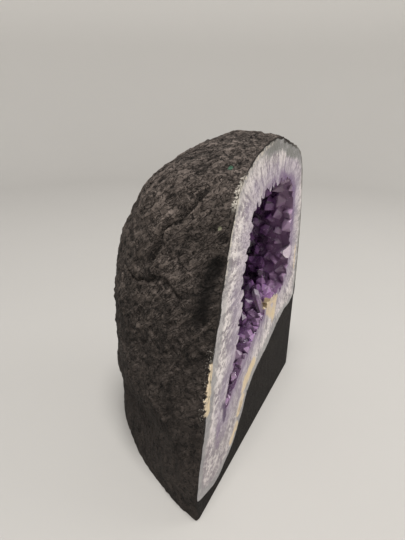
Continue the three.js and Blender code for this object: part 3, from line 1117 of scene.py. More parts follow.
        # Painted shade in the slit below the hollow's tail.
        slit = (streak(shader, x, z, (-65.0, 68.0), (-62.5, 56.0)) + wobble).falling(1.0, 4.4)
        tooth = (streak(shader, x, z, (40.0, 138.0), (60.0, 131.0)) + wobble * 0.2).falling(5.0, 6.5)
        milky = grain.rising(0.40, 0.62) * 0.6 + fibre.falling(0.40, 0.50) * 0.4
        clouded = shader.mix(milky, self.rose, self.milk)
        return shader.coats(
            tone,
            (tips * 0.55, self.purple),
            (slit * 0.95, self.deep),
            (tooth * rim.falling(-8.0, -5.0) * 0.9, clouded),
        )

    def _cream_marks(self, shader: Shader, tone: Socket, ragged: Value, x: Value, z: Value) -> Socket:
        """Adds the cream stone: edge patch, wedge, band and nodules beside the cement.

        Args:
            shader: The shader that the nodes go into.
            tone: The colour so far.
            ragged: Noise that frays the edges.
            x: Place along the front.
            z: Height on the front.

        Returns:
            The new colour.
        """
        marks = (
            ((-89.5, 82.0), (-87.0, 108.0), 3.6, self.cream), ((-91.0, 92.0), (-90.5, 102.0), 0.8, self.bark),
            ((31.0, 97.0), (31.0, 86.0), 4.6, self.cream), ((34.0, 100.5), (8.0, 108.5), 3.6, self.cream),
            ((14.0, 100.0), (29.0, 88.0), 4.0, self.cream), ((-12.0, 68.0), (-27.0, 62.0), 4.4, self.cream),
            ((-10.0, 66.0), (-29.0, 56.0), 4.2, self.cream), ((-30.5, 48.0), (-37.0, 39.0), 4.0, self.cream),
            ((-32.5, 44.5), (-34.5, 40.5), 1.1, self.bark), ((-39.5, 30.0), (-49.0, 22.5), 3.4, self.cream),
            ((82.0, 109.0), (80.0, 131.0), 1.8, self.cream),
        )
        wobble = (ragged - 0.5) * 8.0
        for start, end, width, paint in marks:
            mark = (streak(shader, x, z, start, end) + wobble).falling(width - 1.0, width + 0.8)
            tone = shader.mix(mark * (0.82 + (ragged - 0.5) * 1.2).clamped(), tone, paint)
        return tone


@dataclass(frozen=True)
class Amethyst:
    """Purple quartz, clear enough to see into, darkest between the crystals by painted shade and palest
    beside the mouth by painted light.

    Attributes:
        deep: Colour of the darkest crystals, also laid as painted shade over the crystals low down, away from
            the cut.
        purple: Colour of most crystals.
        rose: Painted light on the crystals near the front and low on the right, towards the light.
        lit_pale_rose: Painted light on the crystals beside the mouth at the upper right, beside the cut on
            the right, and at the front of the tail.
        root: Painted shade between the crystals, at their roots.
        pale: Colour where the colour of a crystal has run out.
        glassy: Colour of the two that stand out.
        clearness: Share of the light that goes into the crystals.
        index: How strongly they bend light.
        tint: Colour that white light takes on inside them.
        density: How fast it does so, for each metre.
    """

    deep: Colour = (0.120, 0.055, 0.140)
    purple: Colour = (0.540, 0.245, 0.650)
    rose: Colour = (0.680, 0.390, 0.700)
    lit_pale_rose: Colour = (0.740, 0.520, 0.730)
    root: Colour = (0.070, 0.030, 0.080)
    pale: Colour = (0.600, 0.520, 0.640)
    glassy: Colour = (0.34, 0.28, 0.35)
    clearness: float = 0.55
    index: float = 1.544
    tint: Colour = (0.52, 0.22, 0.72)
    density: float = 80.0

    def material(self, name: str) -> Material:
        """Builds the purple quartz.

        Args:
            name: Name of the material.

        Returns:
            The material.
        """
        shader = Shader(name)
        place = shader.place()
        x, y, z = shader.parts(place)
        length = shader.stored("length")
        cloud = shader.noise(place, 9.0, 2.0)
        veil = shader.noise(place, 2.6, 4.0, 0.7, 0.6)
        cell = shader.node("ShaderNodeTexVoronoi", None, {"Vector": place, "Scale": 1.0 / 8.0})
        chance = shader.parts(cell.outputs["Color"])[0]
        depth = y - FRONT
        varied = (cloud * 0.5 + chance * 0.5).rising(0.35, 0.62)
        # Painted light: paler crystals near the front.
        near = depth.falling(4.0, 26.0) * z.falling(125.0, 168.0) * x.rising(-14.0, 10.0)
        # Painted light on the crystals at the front of the tail.
        lit_tail_front = depth.falling(6.0, 16.0) * z.falling(88.0, 108.0)
        # Painted shade at the crystals' roots, between them.
        roots = (length + (veil - 0.5) * 4.0).falling(0.0, 4.5)
        by_the_mouth = depth - (z - 152.0) * 0.5 + (cloud - 0.5) * 8.0
        lit = by_the_mouth.falling(-2.0, 2.5) * x.rising(16.0, 30.0) * z.rising(146.0, 154.0)
        # Painted light on the crystals low on the right, most near the front.
        right = x.rising(26.0, 42.0) * z.rising(98.0, 116.0) * 0.95
        further = (depth + (cloud - 0.5) * 12.0).falling(8.0, 26.0) * z.falling(165.0, 185.0)
        # Painted light on the crystals right beside the cut on the right.
        beside = (depth + (cloud - 0.5) * 10.0).falling(3.0, 15.0)
        run_out = (veil + (chance - 0.5) * 0.3).rising(0.58, 0.74)
        # Painted shade over the crystals low down, away from the cut.
        low_down = depth.rising(10.0, 18.0) * z.falling(114.0, 134.0) * x.falling(22.0, 34.0)
        lump = streak(shader, x, z, (11.0, 105.0), (35.0, 95.5)) + (veil - 0.5) * 2.0
        tone = shader.coats(
            self.deep,
            (varied, self.purple),
            (near * (0.2 + chance * 0.55), self.rose),
            (lit_tail_front * 0.6, self.lit_pale_rose),
            (roots * 0.75, self.root),
            (lit * (0.75 + chance * 0.25), self.lit_pale_rose),
            (right * further * (0.5 + chance * 0.4), self.rose),
            (right * beside * (0.4 + chance * 0.5), self.lit_pale_rose),
            (run_out * 0.5, self.pale),
            (low_down * 0.8, self.deep),
            (lump.falling(4.0, 5.0) * depth.falling(4.2, 5.4), SawnQuartz.cream),
        )
        tone = self._pale_crystals(shader, tone, place)
        rough = 0.08 + veil.rising(0.45, 0.8) * 0.3
        return shader.finish({
            "Base Color": tone, "Roughness": rough, "Normal": shader.bump(veil, 0.12),
            "IOR": self.index, "Transmission Weight": self.clearness, "Specular IOR Level": 0.5,
        }, {"Color": (*self.tint, 1.0), "Density": self.density})

    def _pale_crystals(self, shader: Shader, tone: Socket, place: Socket) -> Socket:
        """Lays pale colour over the two crystals that stand out.

        Args:
            shader: The shader that the nodes go into.
            tone: The colour so far.
            place: The place on the surface.

        Returns:
            The new colour.
        """
        for root, tip, width, _ in CrystalCrust.accents:
            axis = Vector(tip) - Vector(root)
            from_root = shader.vector_math("SUBTRACT", place, tuple(root))
            share = shader.measure("DOT_PRODUCT", from_root, tuple(axis / axis.length_squared)).clamped()
            along = shader.node("ShaderNodeVectorMath", {"operation": "SCALE"},
                                {0: tuple(axis), "Scale": share}).outputs["Vector"]
            distance = shader.measure("LENGTH", shader.vector_math("SUBTRACT", from_root, along))
            tone = shader.mix(distance.falling(width * 0.55, width * 0.65) * 0.85, tone, self.glassy)
        return tone


# The stone

def shade_smooth(piece: Piece, angle: float) -> None:
    """Shades a piece smooth, with creases where faces meet at more than an angle in degrees."""
    piece.data.shade_smooth()
    piece.data.set_sharp_from_angle(angle=math.radians(angle))


@dataclass
class Layer:
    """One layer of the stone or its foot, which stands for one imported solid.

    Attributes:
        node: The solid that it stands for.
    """

    node: str

    def dress(self, piece: Piece, *materials: Material) -> None:
        """Gives the layer's piece its finishes and its place in the frame.

        Args:
            piece: The piece.
            materials: Its finishes.
        """
        node = slot = self.node
        piece.data.materials.clear()
        for material in materials:
            piece.data.materials.append(material)
        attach(piece, BODY)
        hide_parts(node)
        log.info("%s: %d faces", piece.name, len(piece.data.polygons))


@dataclass
class StoneForm:
    """The outside of the stone and its foot, and the layers that follow it.

    Attributes:
        centre: Centre of the body on the cut.
        rows: Rows of the finest form.
        columns: Columns of the finest form.
        facet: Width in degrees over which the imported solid's facets are rounded off.
        below: How far below the ground the side runs on before it is cut.
        corners_to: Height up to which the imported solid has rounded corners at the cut.
        straight_from: Degrees behind the cut from which on the side is straight there.
        rind_left: Thickness of the rock skin at the left edge of the cut.
        rind_right: And at its right.
        thinner_low: How much thinner it is low on the left.
        thinner_high: And at the top.
        waver: Share by which that thickness wavers.
        backing: Further thickness away from the cut, under the deepest creases.
        bed: Where the stone meets the cement.
    """

    centre: Pair = (2.0, 90.0)
    rows: int = 181
    columns: int = 560
    facet: float = 2.6
    below: float = 15.0
    corners_to: float = 26.0
    straight_from: float = 4.5
    rind_left: float = 2.2
    rind_right: float = 2.8
    thinner_low: float = 1.2
    thinner_high: float = 1.4
    waver: float = 0.55
    backing: float = 3.0
    bed: Bed = Bed()

    def outside(self) -> PolarForm:
        """Works out the smooth outside of rock and foot together.

        Returns:
            The outside as a form.
        """
        read = PolarForm.from_solids(["rind", "cement_base"], self.centre, self.rows, self.columns)
        squared = read.without_underside(self.below).with_sharp_front(self.corners_to, self.straight_from)
        return squared.smoothed(self.facet)

    def inside(self, outside: PolarForm) -> PolarForm:
        """Works out the inner side of the rock skin, on a coarser grid and with a wavering thickness.

        Args:
            outside: The stone's smooth outside.

        Returns:
            The inner side as a form.
        """
        thin = outside.thinned(2)
        phi, _ = PolarForm.grid(*thin.radii.shape)
        thickness = self.rind_left + (self.rind_right - self.rind_left) * (0.5 + 0.5 * np.cos(phi))
        points = thin.points()
        low_down = self.thinner_low * smooth_step((60.0 - points[..., 2]) / 30.0)
        thickness = thickness - low_down * smooth_step(-points[..., 0] / 60.0)
        thickness = thickness - self.thinner_high * smooth_step((points[..., 2] - 192.0) / 20.0)
        waver = noise_at(points, 9.0, 8.2) + 0.7 * noise_at(points, 3.4, 0.6)
        backing = self.backing * smooth_step((points[..., 1] - FRONT) / 8.0)
        return thin.grown(-thickness * (1.0 + self.waver * np.clip(waver * 1.6, -1.0, 1.0)) - backing)


def from_line(points: np.ndarray, corners: tuple) -> tuple[np.ndarray, np.ndarray]:
    """Distance of places from a bent line, and how far they lie on its upper side.

    Args:
        points: Places in millimetres, any shape that ends in 3.
        corners: Corners of the line.

    Returns:
        The distance, and the part of it that is square to the line within the stone's side.
    """
    nearest_yet = np.full(points.shape[:-1], FAR)
    above = np.zeros(points.shape[:-1])
    for start, end in zip(corners, corners[1:]):
        start, along = np.array(start), np.array(end) - np.array(start)
        share = np.clip((points - start) @ along / (along @ along), 0.0, 1.0)
        off = points - start - share[..., None] * along
        away = np.linalg.norm(off, axis=-1)
        upward = np.array([0.0, along[2], -along[1]]) / math.hypot(along[1], along[2])
        above = np.where(away < nearest_yet, off @ upward, above)
        nearest_yet = np.minimum(nearest_yet, away)
    return nearest_yet, above


@dataclass
class CoarseSkin:
    """The rough, painted outside of rock and foot: folds, wrinkles, lumps, grain, ledges and furrows.

    Attributes:
        fold_size: Spacing of the folds, across and along them.
        fold_height: Their height.
        wrinkle_size: Spacing of the finer wrinkles, across and along them.
        wrinkle_height: Their height.
        lump_size: Spacing of the broad lumps.
        lump_height: Their height.
        grain_size: Spacing of the grain.
        grain_height: Its height.
        slope: Degrees by which folds and wrinkles climb towards the cut.
        skim_edge: Where the cement's thin skim over the rock ends, as depth behind the cut, height.
        ledges: Steps in the rock, as corners, height of the upper side and depth under it.
        grooves: Furrows, as corners, width and depth.
        dents: Soft hollows, as place, width and depth.
    """

    fold_size: Pair = (8.0, 30.0)
    fold_height: float = 0.46
    wrinkle_size: Pair = (3.2, 9.0)
    wrinkle_height: float = 0.48
    lump_size: float = 24.0
    lump_height: float = 1.0
    grain_size: float = 3.1
    grain_height: float = 0.50
    slope: float = 40.0
    skim_edge: tuple[Pair, ...] = (
        (0.0, 28.0), (8.0, 40.0), (17.5, 52.0), (29.0, 64.0), (41.0, 74.0), (55.0, 80.7),
        (73.5, 88.5), (91.5, 94.0), (114.0, 99.0),
    )
    ledges: tuple[tuple[tuple, float, float], ...] = (
        (((-68.2, 1.6, 164.5), (-66.1, -2.5, 174.9), (-64.6, -5.5, 181.7), (-63.5, -10.5, 186.0),
          (-63.2, -15.8, 189.5), (-61.9, -19.9, 195.0), (-60.0, -23.4, 199.7), (-57.0, -28.6, 205.3)),
         1.2, 2.2),
        (((-61.7, 24.8, 148.7), (-67.0, 14.1, 146.7), (-70.2, 3.7, 149.8), (-71.6, -6.5, 154.4),
          (-73.2, -13.8, 153.2), (-75.2, -18.5, 149.3)), 0.8, 1.1),
        (((-67.6, -18.1, 172.6), (-64.7, -23.7, 184.7), (-64.5, -34.9, 187.5)), 0.4, 0.9),
    )
    grooves: tuple[tuple[tuple, float, float], ...] = (
        (((-70.8, -43.9, 167.8), (-72.1, -39.1, 162.9), (-74.3, -35.8, 154.1), (-77.5, -36.4, 144.2),
          (-79.4, -36.9, 135.9)), 4.0, 3.2),
        (((-74.1, -17.4, 152.0), (-76.0, -19.6, 147.5), (-77.5, -22.2, 144.1)), 1.2, 0.8),
    )
    dents: tuple[tuple[float, float, float, float, float], ...] = (
        (-71.4, -42.0, 167.0, 6.0, 1.2), (-66.0, -45.0, 182.4, 2.6, 2.2), (-64.4, -38.3, 185.3, 2.0, 1.4),
        (-65.0, -38.0, 176.0, 5.0, 0.9), (-83.0, -42.0, 112.0, 6.0, 0.8), (-66.5, 9.0, 141.0, 4.5, 1.0),
        (-72.0, -4.0, 147.0, 4.0, 1.0), (-76.0, 12.0, 100.0, 8.0, 0.9),
    )

    def above_skim(self, points: np.ndarray) -> np.ndarray:
        """Returns each place's height above the edge of the cement's skim."""
        return points[..., 2] - np.interp(points[..., 1] - FRONT, *np.array(self.skim_edge).T)

    def flow(self, points: np.ndarray, size: Pair, warp: np.ndarray) -> np.ndarray:
        """Turns places so that noise in them runs along the slope.

        Args:
            points: Places in millimetres, any shape that ends in 3.
            size: Spacing of the noise across and along the slope.
            warp: How far each place is pushed across it.

        Returns:
            Places to read noise of size 1 at.
        """
        slope = math.radians(self.slope)
        along = -points[..., 1] * math.cos(slope) + points[..., 2] * math.sin(slope)
        across = points[..., 1] * math.sin(slope) + points[..., 2] * math.cos(slope) + warp
        return np.stack([points[..., 0] / size[0], along / size[1], across / size[0]], axis=-1)

    def relief(self, points: np.ndarray) -> np.ndarray:
        """Works out how far the paint stands proud.

        Args:
            points: Places on the smooth outside.

        Returns:
            The relief in millimetres.
        """
        above = self.above_skim(points)
        upper = smooth_step((above + 6.0) / 14.0)
        warp = noise_at(points, 19.0, 3.1) * 6.0
        fold = 1.0 - np.abs(noise_at(self.flow(points, self.fold_size, warp), 1.0, 7.7)) * 3.4
        folds = np.maximum(fold, -0.8) * self.fold_height
        wrinkles = noise_at(self.flow(points, self.wrinkle_size, warp), 1.0, 2.4) * self.wrinkle_height * 1.6
        lumps = noise_at(points, self.lump_size, 5.3) * self.lump_height * 1.4
        grain = noise_at(points, self.grain_size, 1.9) * self.grain_height * 1.5
        swept = points + np.array([0.0, 1.0, 0.0]) * (warp * 1.5 + points[..., 2] * -0.35)[..., None]
        streaks = noise_at(swept, (3.4, 3.4, 30.0), 9.1) * 0.6 + noise_at(points, 12.0, 6.6) * 0.5
        lip = bell(above + 1.5, 2.0) * (0.6 + noise_at(points, 30.0, 4.9))
        behind = smooth_step((points[..., 1] - FRONT) / 7.0)
        calm = 0.45 + 0.55 * smooth_step((points[..., 2] - 95.0) / 60.0)
        rough = (folds + wrinkles * 1.2) * upper * calm + (streaks + wrinkles * 0.4) * (1.0 - upper) + lumps
        total = (rough + lip) * (0.2 + 0.8 * behind) + grain * (0.65 + 0.35 * upper)
        return np.maximum(total + self._marks(points), -1.6 - 2.4 * behind)

    def _marks(self, points: np.ndarray) -> np.ndarray:
        """Works out the ledges, furrows and dents.

        Args:
            points: Places on the smooth outside.

        Returns:
            The height at each in millimetres.
        """
        marks = np.zeros(points.shape[:-1])
        for place_x, place_y, place_z, width, depth in self.dents:
            away = np.linalg.norm(points - np.array([place_x, place_y, place_z]), axis=-1)
            marks -= bell(away, width) * depth
        for corners, width, depth in self.grooves:
            marks -= bell(from_line(points, corners)[0], width) * depth
        ragged = noise_at(points, 6.0, 3.3) * 1.8 + noise_at(points, 2.4, 1.3) * 0.8
        for corners, height, depth in self.ledges:
            away, above = from_line(points, corners)
            beyond = np.sqrt(np.maximum(away ** 2 - above ** 2, 0.0))
            above = above + ragged
            step = smooth_step((above + 0.8) / 1.6) * bell(np.maximum(above, 0.0), 8.0) * height
            marks += (step - bell(above + 1.2, 1.25) * depth) * bell(beyond, 5.0)
        return marks

    def store_relief(self, piece: Piece, outside: PolarForm, rough: PolarForm) -> None:
        """Keeps for the paint how far each place stands out of its surroundings and how much it faces up,
        which the paint turns into painted shade and painted light.

        Args:
            piece: The piece.
            outside: The smooth outside.
            rough: The same with its relief.
        """
        relief = PolarForm(outside.centre, rough.radii - outside.radii)
        local = relief.radii - relief.smoothed(2.4).radii
        upward = rough.normals()[..., 2] - outside.normals()[..., 2]
        points = vertices_of(piece)
        row, column, _ = outside.cells(points)
        cut = points[:, 1] < FRONT + 0.02
        store(piece, "relief", np.where(cut, 0.0, local[row, column]))
        store(piece, "upward", np.where(cut, 0.0, upward[row, column]))


@dataclass
class RockSkin(Layer):
    """The rock skin of the geode, painted matt black.

    Attributes:
        node: The solid that it stands for.
    """

    node: str = "rind"

    def build(self, form: StoneForm, outside: PolarForm, rough: PolarForm) -> Piece:
        """Builds the rock skin.

        Args:
            form: The stone's measures.
            outside: Its smooth outside.
            rough: The same with its relief.

        Returns:
            The piece.
        """
        skin = rough.closed("rock_skin")
        cut_with(skin, Cut.KEEP_INSIDE, [form.bed.above("over_bed", 0.0)])
        core = form.inside(outside).closed("core")
        cut_with(core, Cut.KEEP_INSIDE, [form.bed.above("over_skin", form.rind_left)])
        cut_with(skin, Cut.TAKE_AWAY, [core])
        cut_with(skin, Cut.KEEP_INSIDE, [behind_the_cut()])
        shade_smooth(skin, 55.0)
        return skin


@dataclass
class CementFoot(Layer):
    """The cement cast round the underside, painted like the rock, flush with the sawn front.

    Attributes:
        node: The solid that it stands for.
        corner: Radius of the upright corners at the front.
        sharp: Radius of the left one where it meets the stone.
        meets: Height at which it does.
        gap: Clearance under the stone.
        left: Left end of the mould.
        right: Right end of the mould.
    """

    node: str = "cement_base"
    corner: float = 6.0
    sharp: float = 0.8
    meets: float = 17.0
    gap: float = 0.03
    left: float = -103.0
    right: float = 97.0

    def build(self, form: StoneForm, rough: PolarForm) -> Piece:
        """Builds the foot.

        Args:
            form: The stone's measures.
            rough: The outside of rock and foot, with its relief.

        Returns:
            The piece.
        """
        foot = rough.closed("cement_foot")
        cut_with(foot, Cut.TAKE_AWAY, [form.bed.above("stone_side", -self.gap)])
        cut_with(foot, Cut.KEEP_INSIDE, [self._mould()])
        shade_smooth(foot, 40.0)
        return foot

    def _mould(self) -> Piece:
        """Makes the upright mould, with its two rounded corners at the front.

        Returns:
            The mould.
        """
        turns = np.linspace(0.0, math.pi / 2, 9)
        levels = ((0.0, self.corner), (self.meets, self.sharp), (FAR, self.sharp))
        points = []
        for z, left in levels:
            points += [(self.left + left - left * math.cos(t), FRONT + left - left * math.sin(t), z)
                       for t in turns]
            points += [(self.right - self.corner + self.corner * math.sin(t),
                        FRONT + self.corner - self.corner * math.cos(t), z) for t in turns]
            points += [(self.right, FAR, z), (self.left, FAR, z)]
        count = len(points) // len(levels)
        top = (len(levels) - 1) * count
        faces = [list(range(count - 1, -1, -1)), list(range(top, top + count))]
        return make_mesh("mould", np.array(points), faces + ring_faces(len(levels), count, turned=True))


@dataclass
class Hollow:
    """The pocket in the quartz, and the crystals' roots inside it.

    Attributes:
        centre: Centre of both on the cut.
        pocket: Outline of the pocket on the cut.
        mouth: Outline of the open hollow on the cut.
        pocket_depth: Sawn front to the back of the crystal crust.
        depth: And to the back of the hollow.
        fullness: 2 would be an ellipse from front to back.
        room: How far outside the hollow the crystals' roots lie, at the cut and further back.
        room_over: Angle behind the cut over which that grows, in radians.
    """

    centre: Pair = (12.0, 150.0)
    pocket: tuple[Pair, ...] = (
        (74, 130), (72, 150), (69, 175), (61, 197), (39, 207), (12, 206), (-18, 204), (-37, 193),
        (-43, 175), (-49, 156), (-53, 138), (-55, 118), (-57, 98), (-65, 82), (-71, 66), (-69, 48),
        (-55, 48), (-41, 58), (-21, 72), (-1, 84), (15, 96), (42, 94), (67, 105),
    )
    mouth: tuple[Pair, ...] = (
        (59, 130), (57, 150), (56, 170), (50, 186), (35, 195), (12, 198), (-13, 195), (-29, 187),
        (-35, 170), (-41, 152), (-43, 135), (-45, 118), (-49, 100), (-57, 82), (-61, 66), (-53, 66),
        (-39, 78), (-21, 86), (-1, 97), (15, 106), (37, 104), (55, 110),
    )
    pocket_depth: float = 71.0
    depth: float = 62.0
    fullness: float = 2.3
    room: Pair = (2.6, 5.0)
    room_over: float = 0.3

    def pocket_form(self, rows: int, columns: int, grow: float = 0.0) -> PolarForm:
        """Returns the pocket that the crystals line."""
        return PolarForm.from_outline(self.pocket, self.centre, self.pocket_depth, self.fullness,
                                      rows, columns, grow)

    def root_form(self, rows: int, columns: int) -> PolarForm:
        """Works out the surface that the crystals grow from.

        Args:
            rows: Number of rows.
            columns: Number of columns.

        Returns:
            The surface as a form.
        """
        form = PolarForm.from_outline(self.mouth, self.centre, self.depth, self.fullness, rows, columns)
        _, psi = PolarForm.grid(rows, columns)
        return form.grown(self.room[0] + (self.room[1] - self.room[0]) * smooth_step(psi / self.room_over))


def nearest(points: np.ndarray, line: np.ndarray) -> np.ndarray:
    """Distance of each point from the nearest of a dense line's points.

    Args:
        points: The points, one row each.
        line: The line's points, one row each.

    Returns:
        One distance for each point.
    """
    distances = np.empty(len(points))
    at_once = 4000
    for first in range(0, len(points), at_once):
        away = points[first:first + at_once, None, :] - line[None, :, :]
        distances[first:first + at_once] = np.sqrt((away ** 2).sum(axis=2)).min(axis=1)
    return distances


@dataclass
class QuartzWall(Layer):
    """The pale quartz between the rock skin and the crystals.

    Attributes:
        node: The solid that it stands for.
        columns: Columns of the mesh round the hollow.
        rings: Rings on the sawn face, from the pocket to the skin.
        rows: Rows behind the cut.
        gap: Clearance to the rock skin and to the crystals.
        relief: Height of the fibres on the sawn face.
    """

    node: str = "quartz_wall"
    columns: int = 640
    rings: int = 44
    rows: int = 28
    gap: float = 0.03
    relief: float = 0.22

    def build(self, form: StoneForm, outside: PolarForm, hollow: Hollow) -> Piece:
        """Builds the quartz wall.

        Args:
            form: The stone's measures.
            outside: Its smooth outside.
            hollow: The pocket in the quartz.

        Returns:
            The piece.
        """
        inner = hollow.pocket_form(self.rows, self.columns, self.gap)
        outer = PolarForm(hollow.centre, self._reach(form, outside, inner) - self.gap)
        near, far = inner.points(), outer.points()
        share = np.linspace(0.0, 1.0, self.rings + 1)[1:-1, None, None]
        face = near[0] + (far[0] - near[0]) * share
        face[..., 1] += self._fibres(face, hollow)
        rows, rings, columns = self.rows, self.rings, self.columns
        shell = np.vstack([near[:0:-1].reshape(-1, 3), near[0], face.reshape(-1, 3), far.reshape(-1, 3)])
        count = (rows - 1) + rings + rows
        wall = make_mesh("quartz_wall_face", shell, ring_faces(count, columns))
        close_poles(wall)
        store_distances(wall, near[0], far[0])
        shade_smooth(wall, 40.0)
        return wall

    def _reach(self, form: StoneForm, outside: PolarForm, inner: PolarForm) -> np.ndarray:
        """Measures from the pocket's centre to the rock skin or the cement.

        Args:
            form: The stone's measures.
            outside: Its smooth outside.
            inner: The pocket.

        Returns:
            The distance for each row and column of the pocket.
        """
        core = form.inside(outside).closed("core")
        cut_with(core, Cut.KEEP_INSIDE, [form.bed.above("over_skin", form.rind_left)])
        corners = [vertex.co for vertex in core.data.vertices]
        solid = BVHTree.FromPolygons(corners, [face.vertices for face in core.data.polygons])
        ways = unit_directions(*PolarForm.grid(*inner.radii.shape))
        reach = reach_to(solid, inner.centre, ways, from_outside=False)
        discard(core)
        return reach

    def _fibres(self, face: np.ndarray, hollow: Hollow) -> np.ndarray:
        """Works out the fibres on the sawn face, which end before its two edges.

        Args:
            face: Places on the sawn face.
            hollow: The hollow that the fibres point to.

        Returns:
            The depth at each place in millimetres.
        """
        away = face - on_cut(hollow.centre)
        reach = np.linalg.norm(away, axis=-1, keepdims=True)
        fan = away / reach * 60.0 + np.array([0.0, 1.0, 0.0]) * reach * 0.25
        wave = noise_at(fan, 3.0, 2.7) * 0.6 + noise_at(face, 2.4, 6.4) * 0.4
        share = np.linspace(0.0, 1.0, self.rings + 1)[1:-1, None]
        return (wave + 0.55) * self.relief * smooth_step(np.minimum(share, 1.0 - share) * 8.0)


def store_distances(piece: Piece, rim: np.ndarray, skin: np.ndarray) -> None:
    """Keeps each vertex's distance from the pocket's rim, below 0 inside it, and from the rock skin.

    Args:
        piece: The piece.
        rim: Points along the rim.
        skin: Points along the skin.
    """
    flat = vertices_of(piece)[:, (0, 2)]
    rim_flat, skin_flat = rim[:, (0, 2)], skin[:, (0, 2)]
    middle = np.array(Hollow.centre)
    turn = np.arctan2(flat[:, 1] - middle[1], flat[:, 0] - middle[0])
    rim_turn = np.arctan2(rim_flat[:, 1] - middle[1], rim_flat[:, 0] - middle[0])
    order = np.argsort(rim_turn)
    rim_reach = np.interp(turn, rim_turn[order], np.hypot(*(rim_flat - middle).T)[order], period=2 * math.pi)
    side = np.where(np.hypot(*(flat - middle).T) < rim_reach, -1.0, 1.0)
    store(piece, "rim", nearest(flat, rim_flat) * side)
    store(piece, "skin", nearest(flat, skin_flat))


def close_poles(piece: Piece) -> None:
    """Joins the vertices that meet at the back of a form and drops the faces that this closes up.

    Args:
        piece: The piece.
    """
    mesh = bmesh.new()
    mesh.from_mesh(piece.data)
    bmesh.ops.remove_doubles(mesh, verts=mesh.verts, dist=1e-7)
    mesh.to_mesh(piece.data)
    mesh.free()


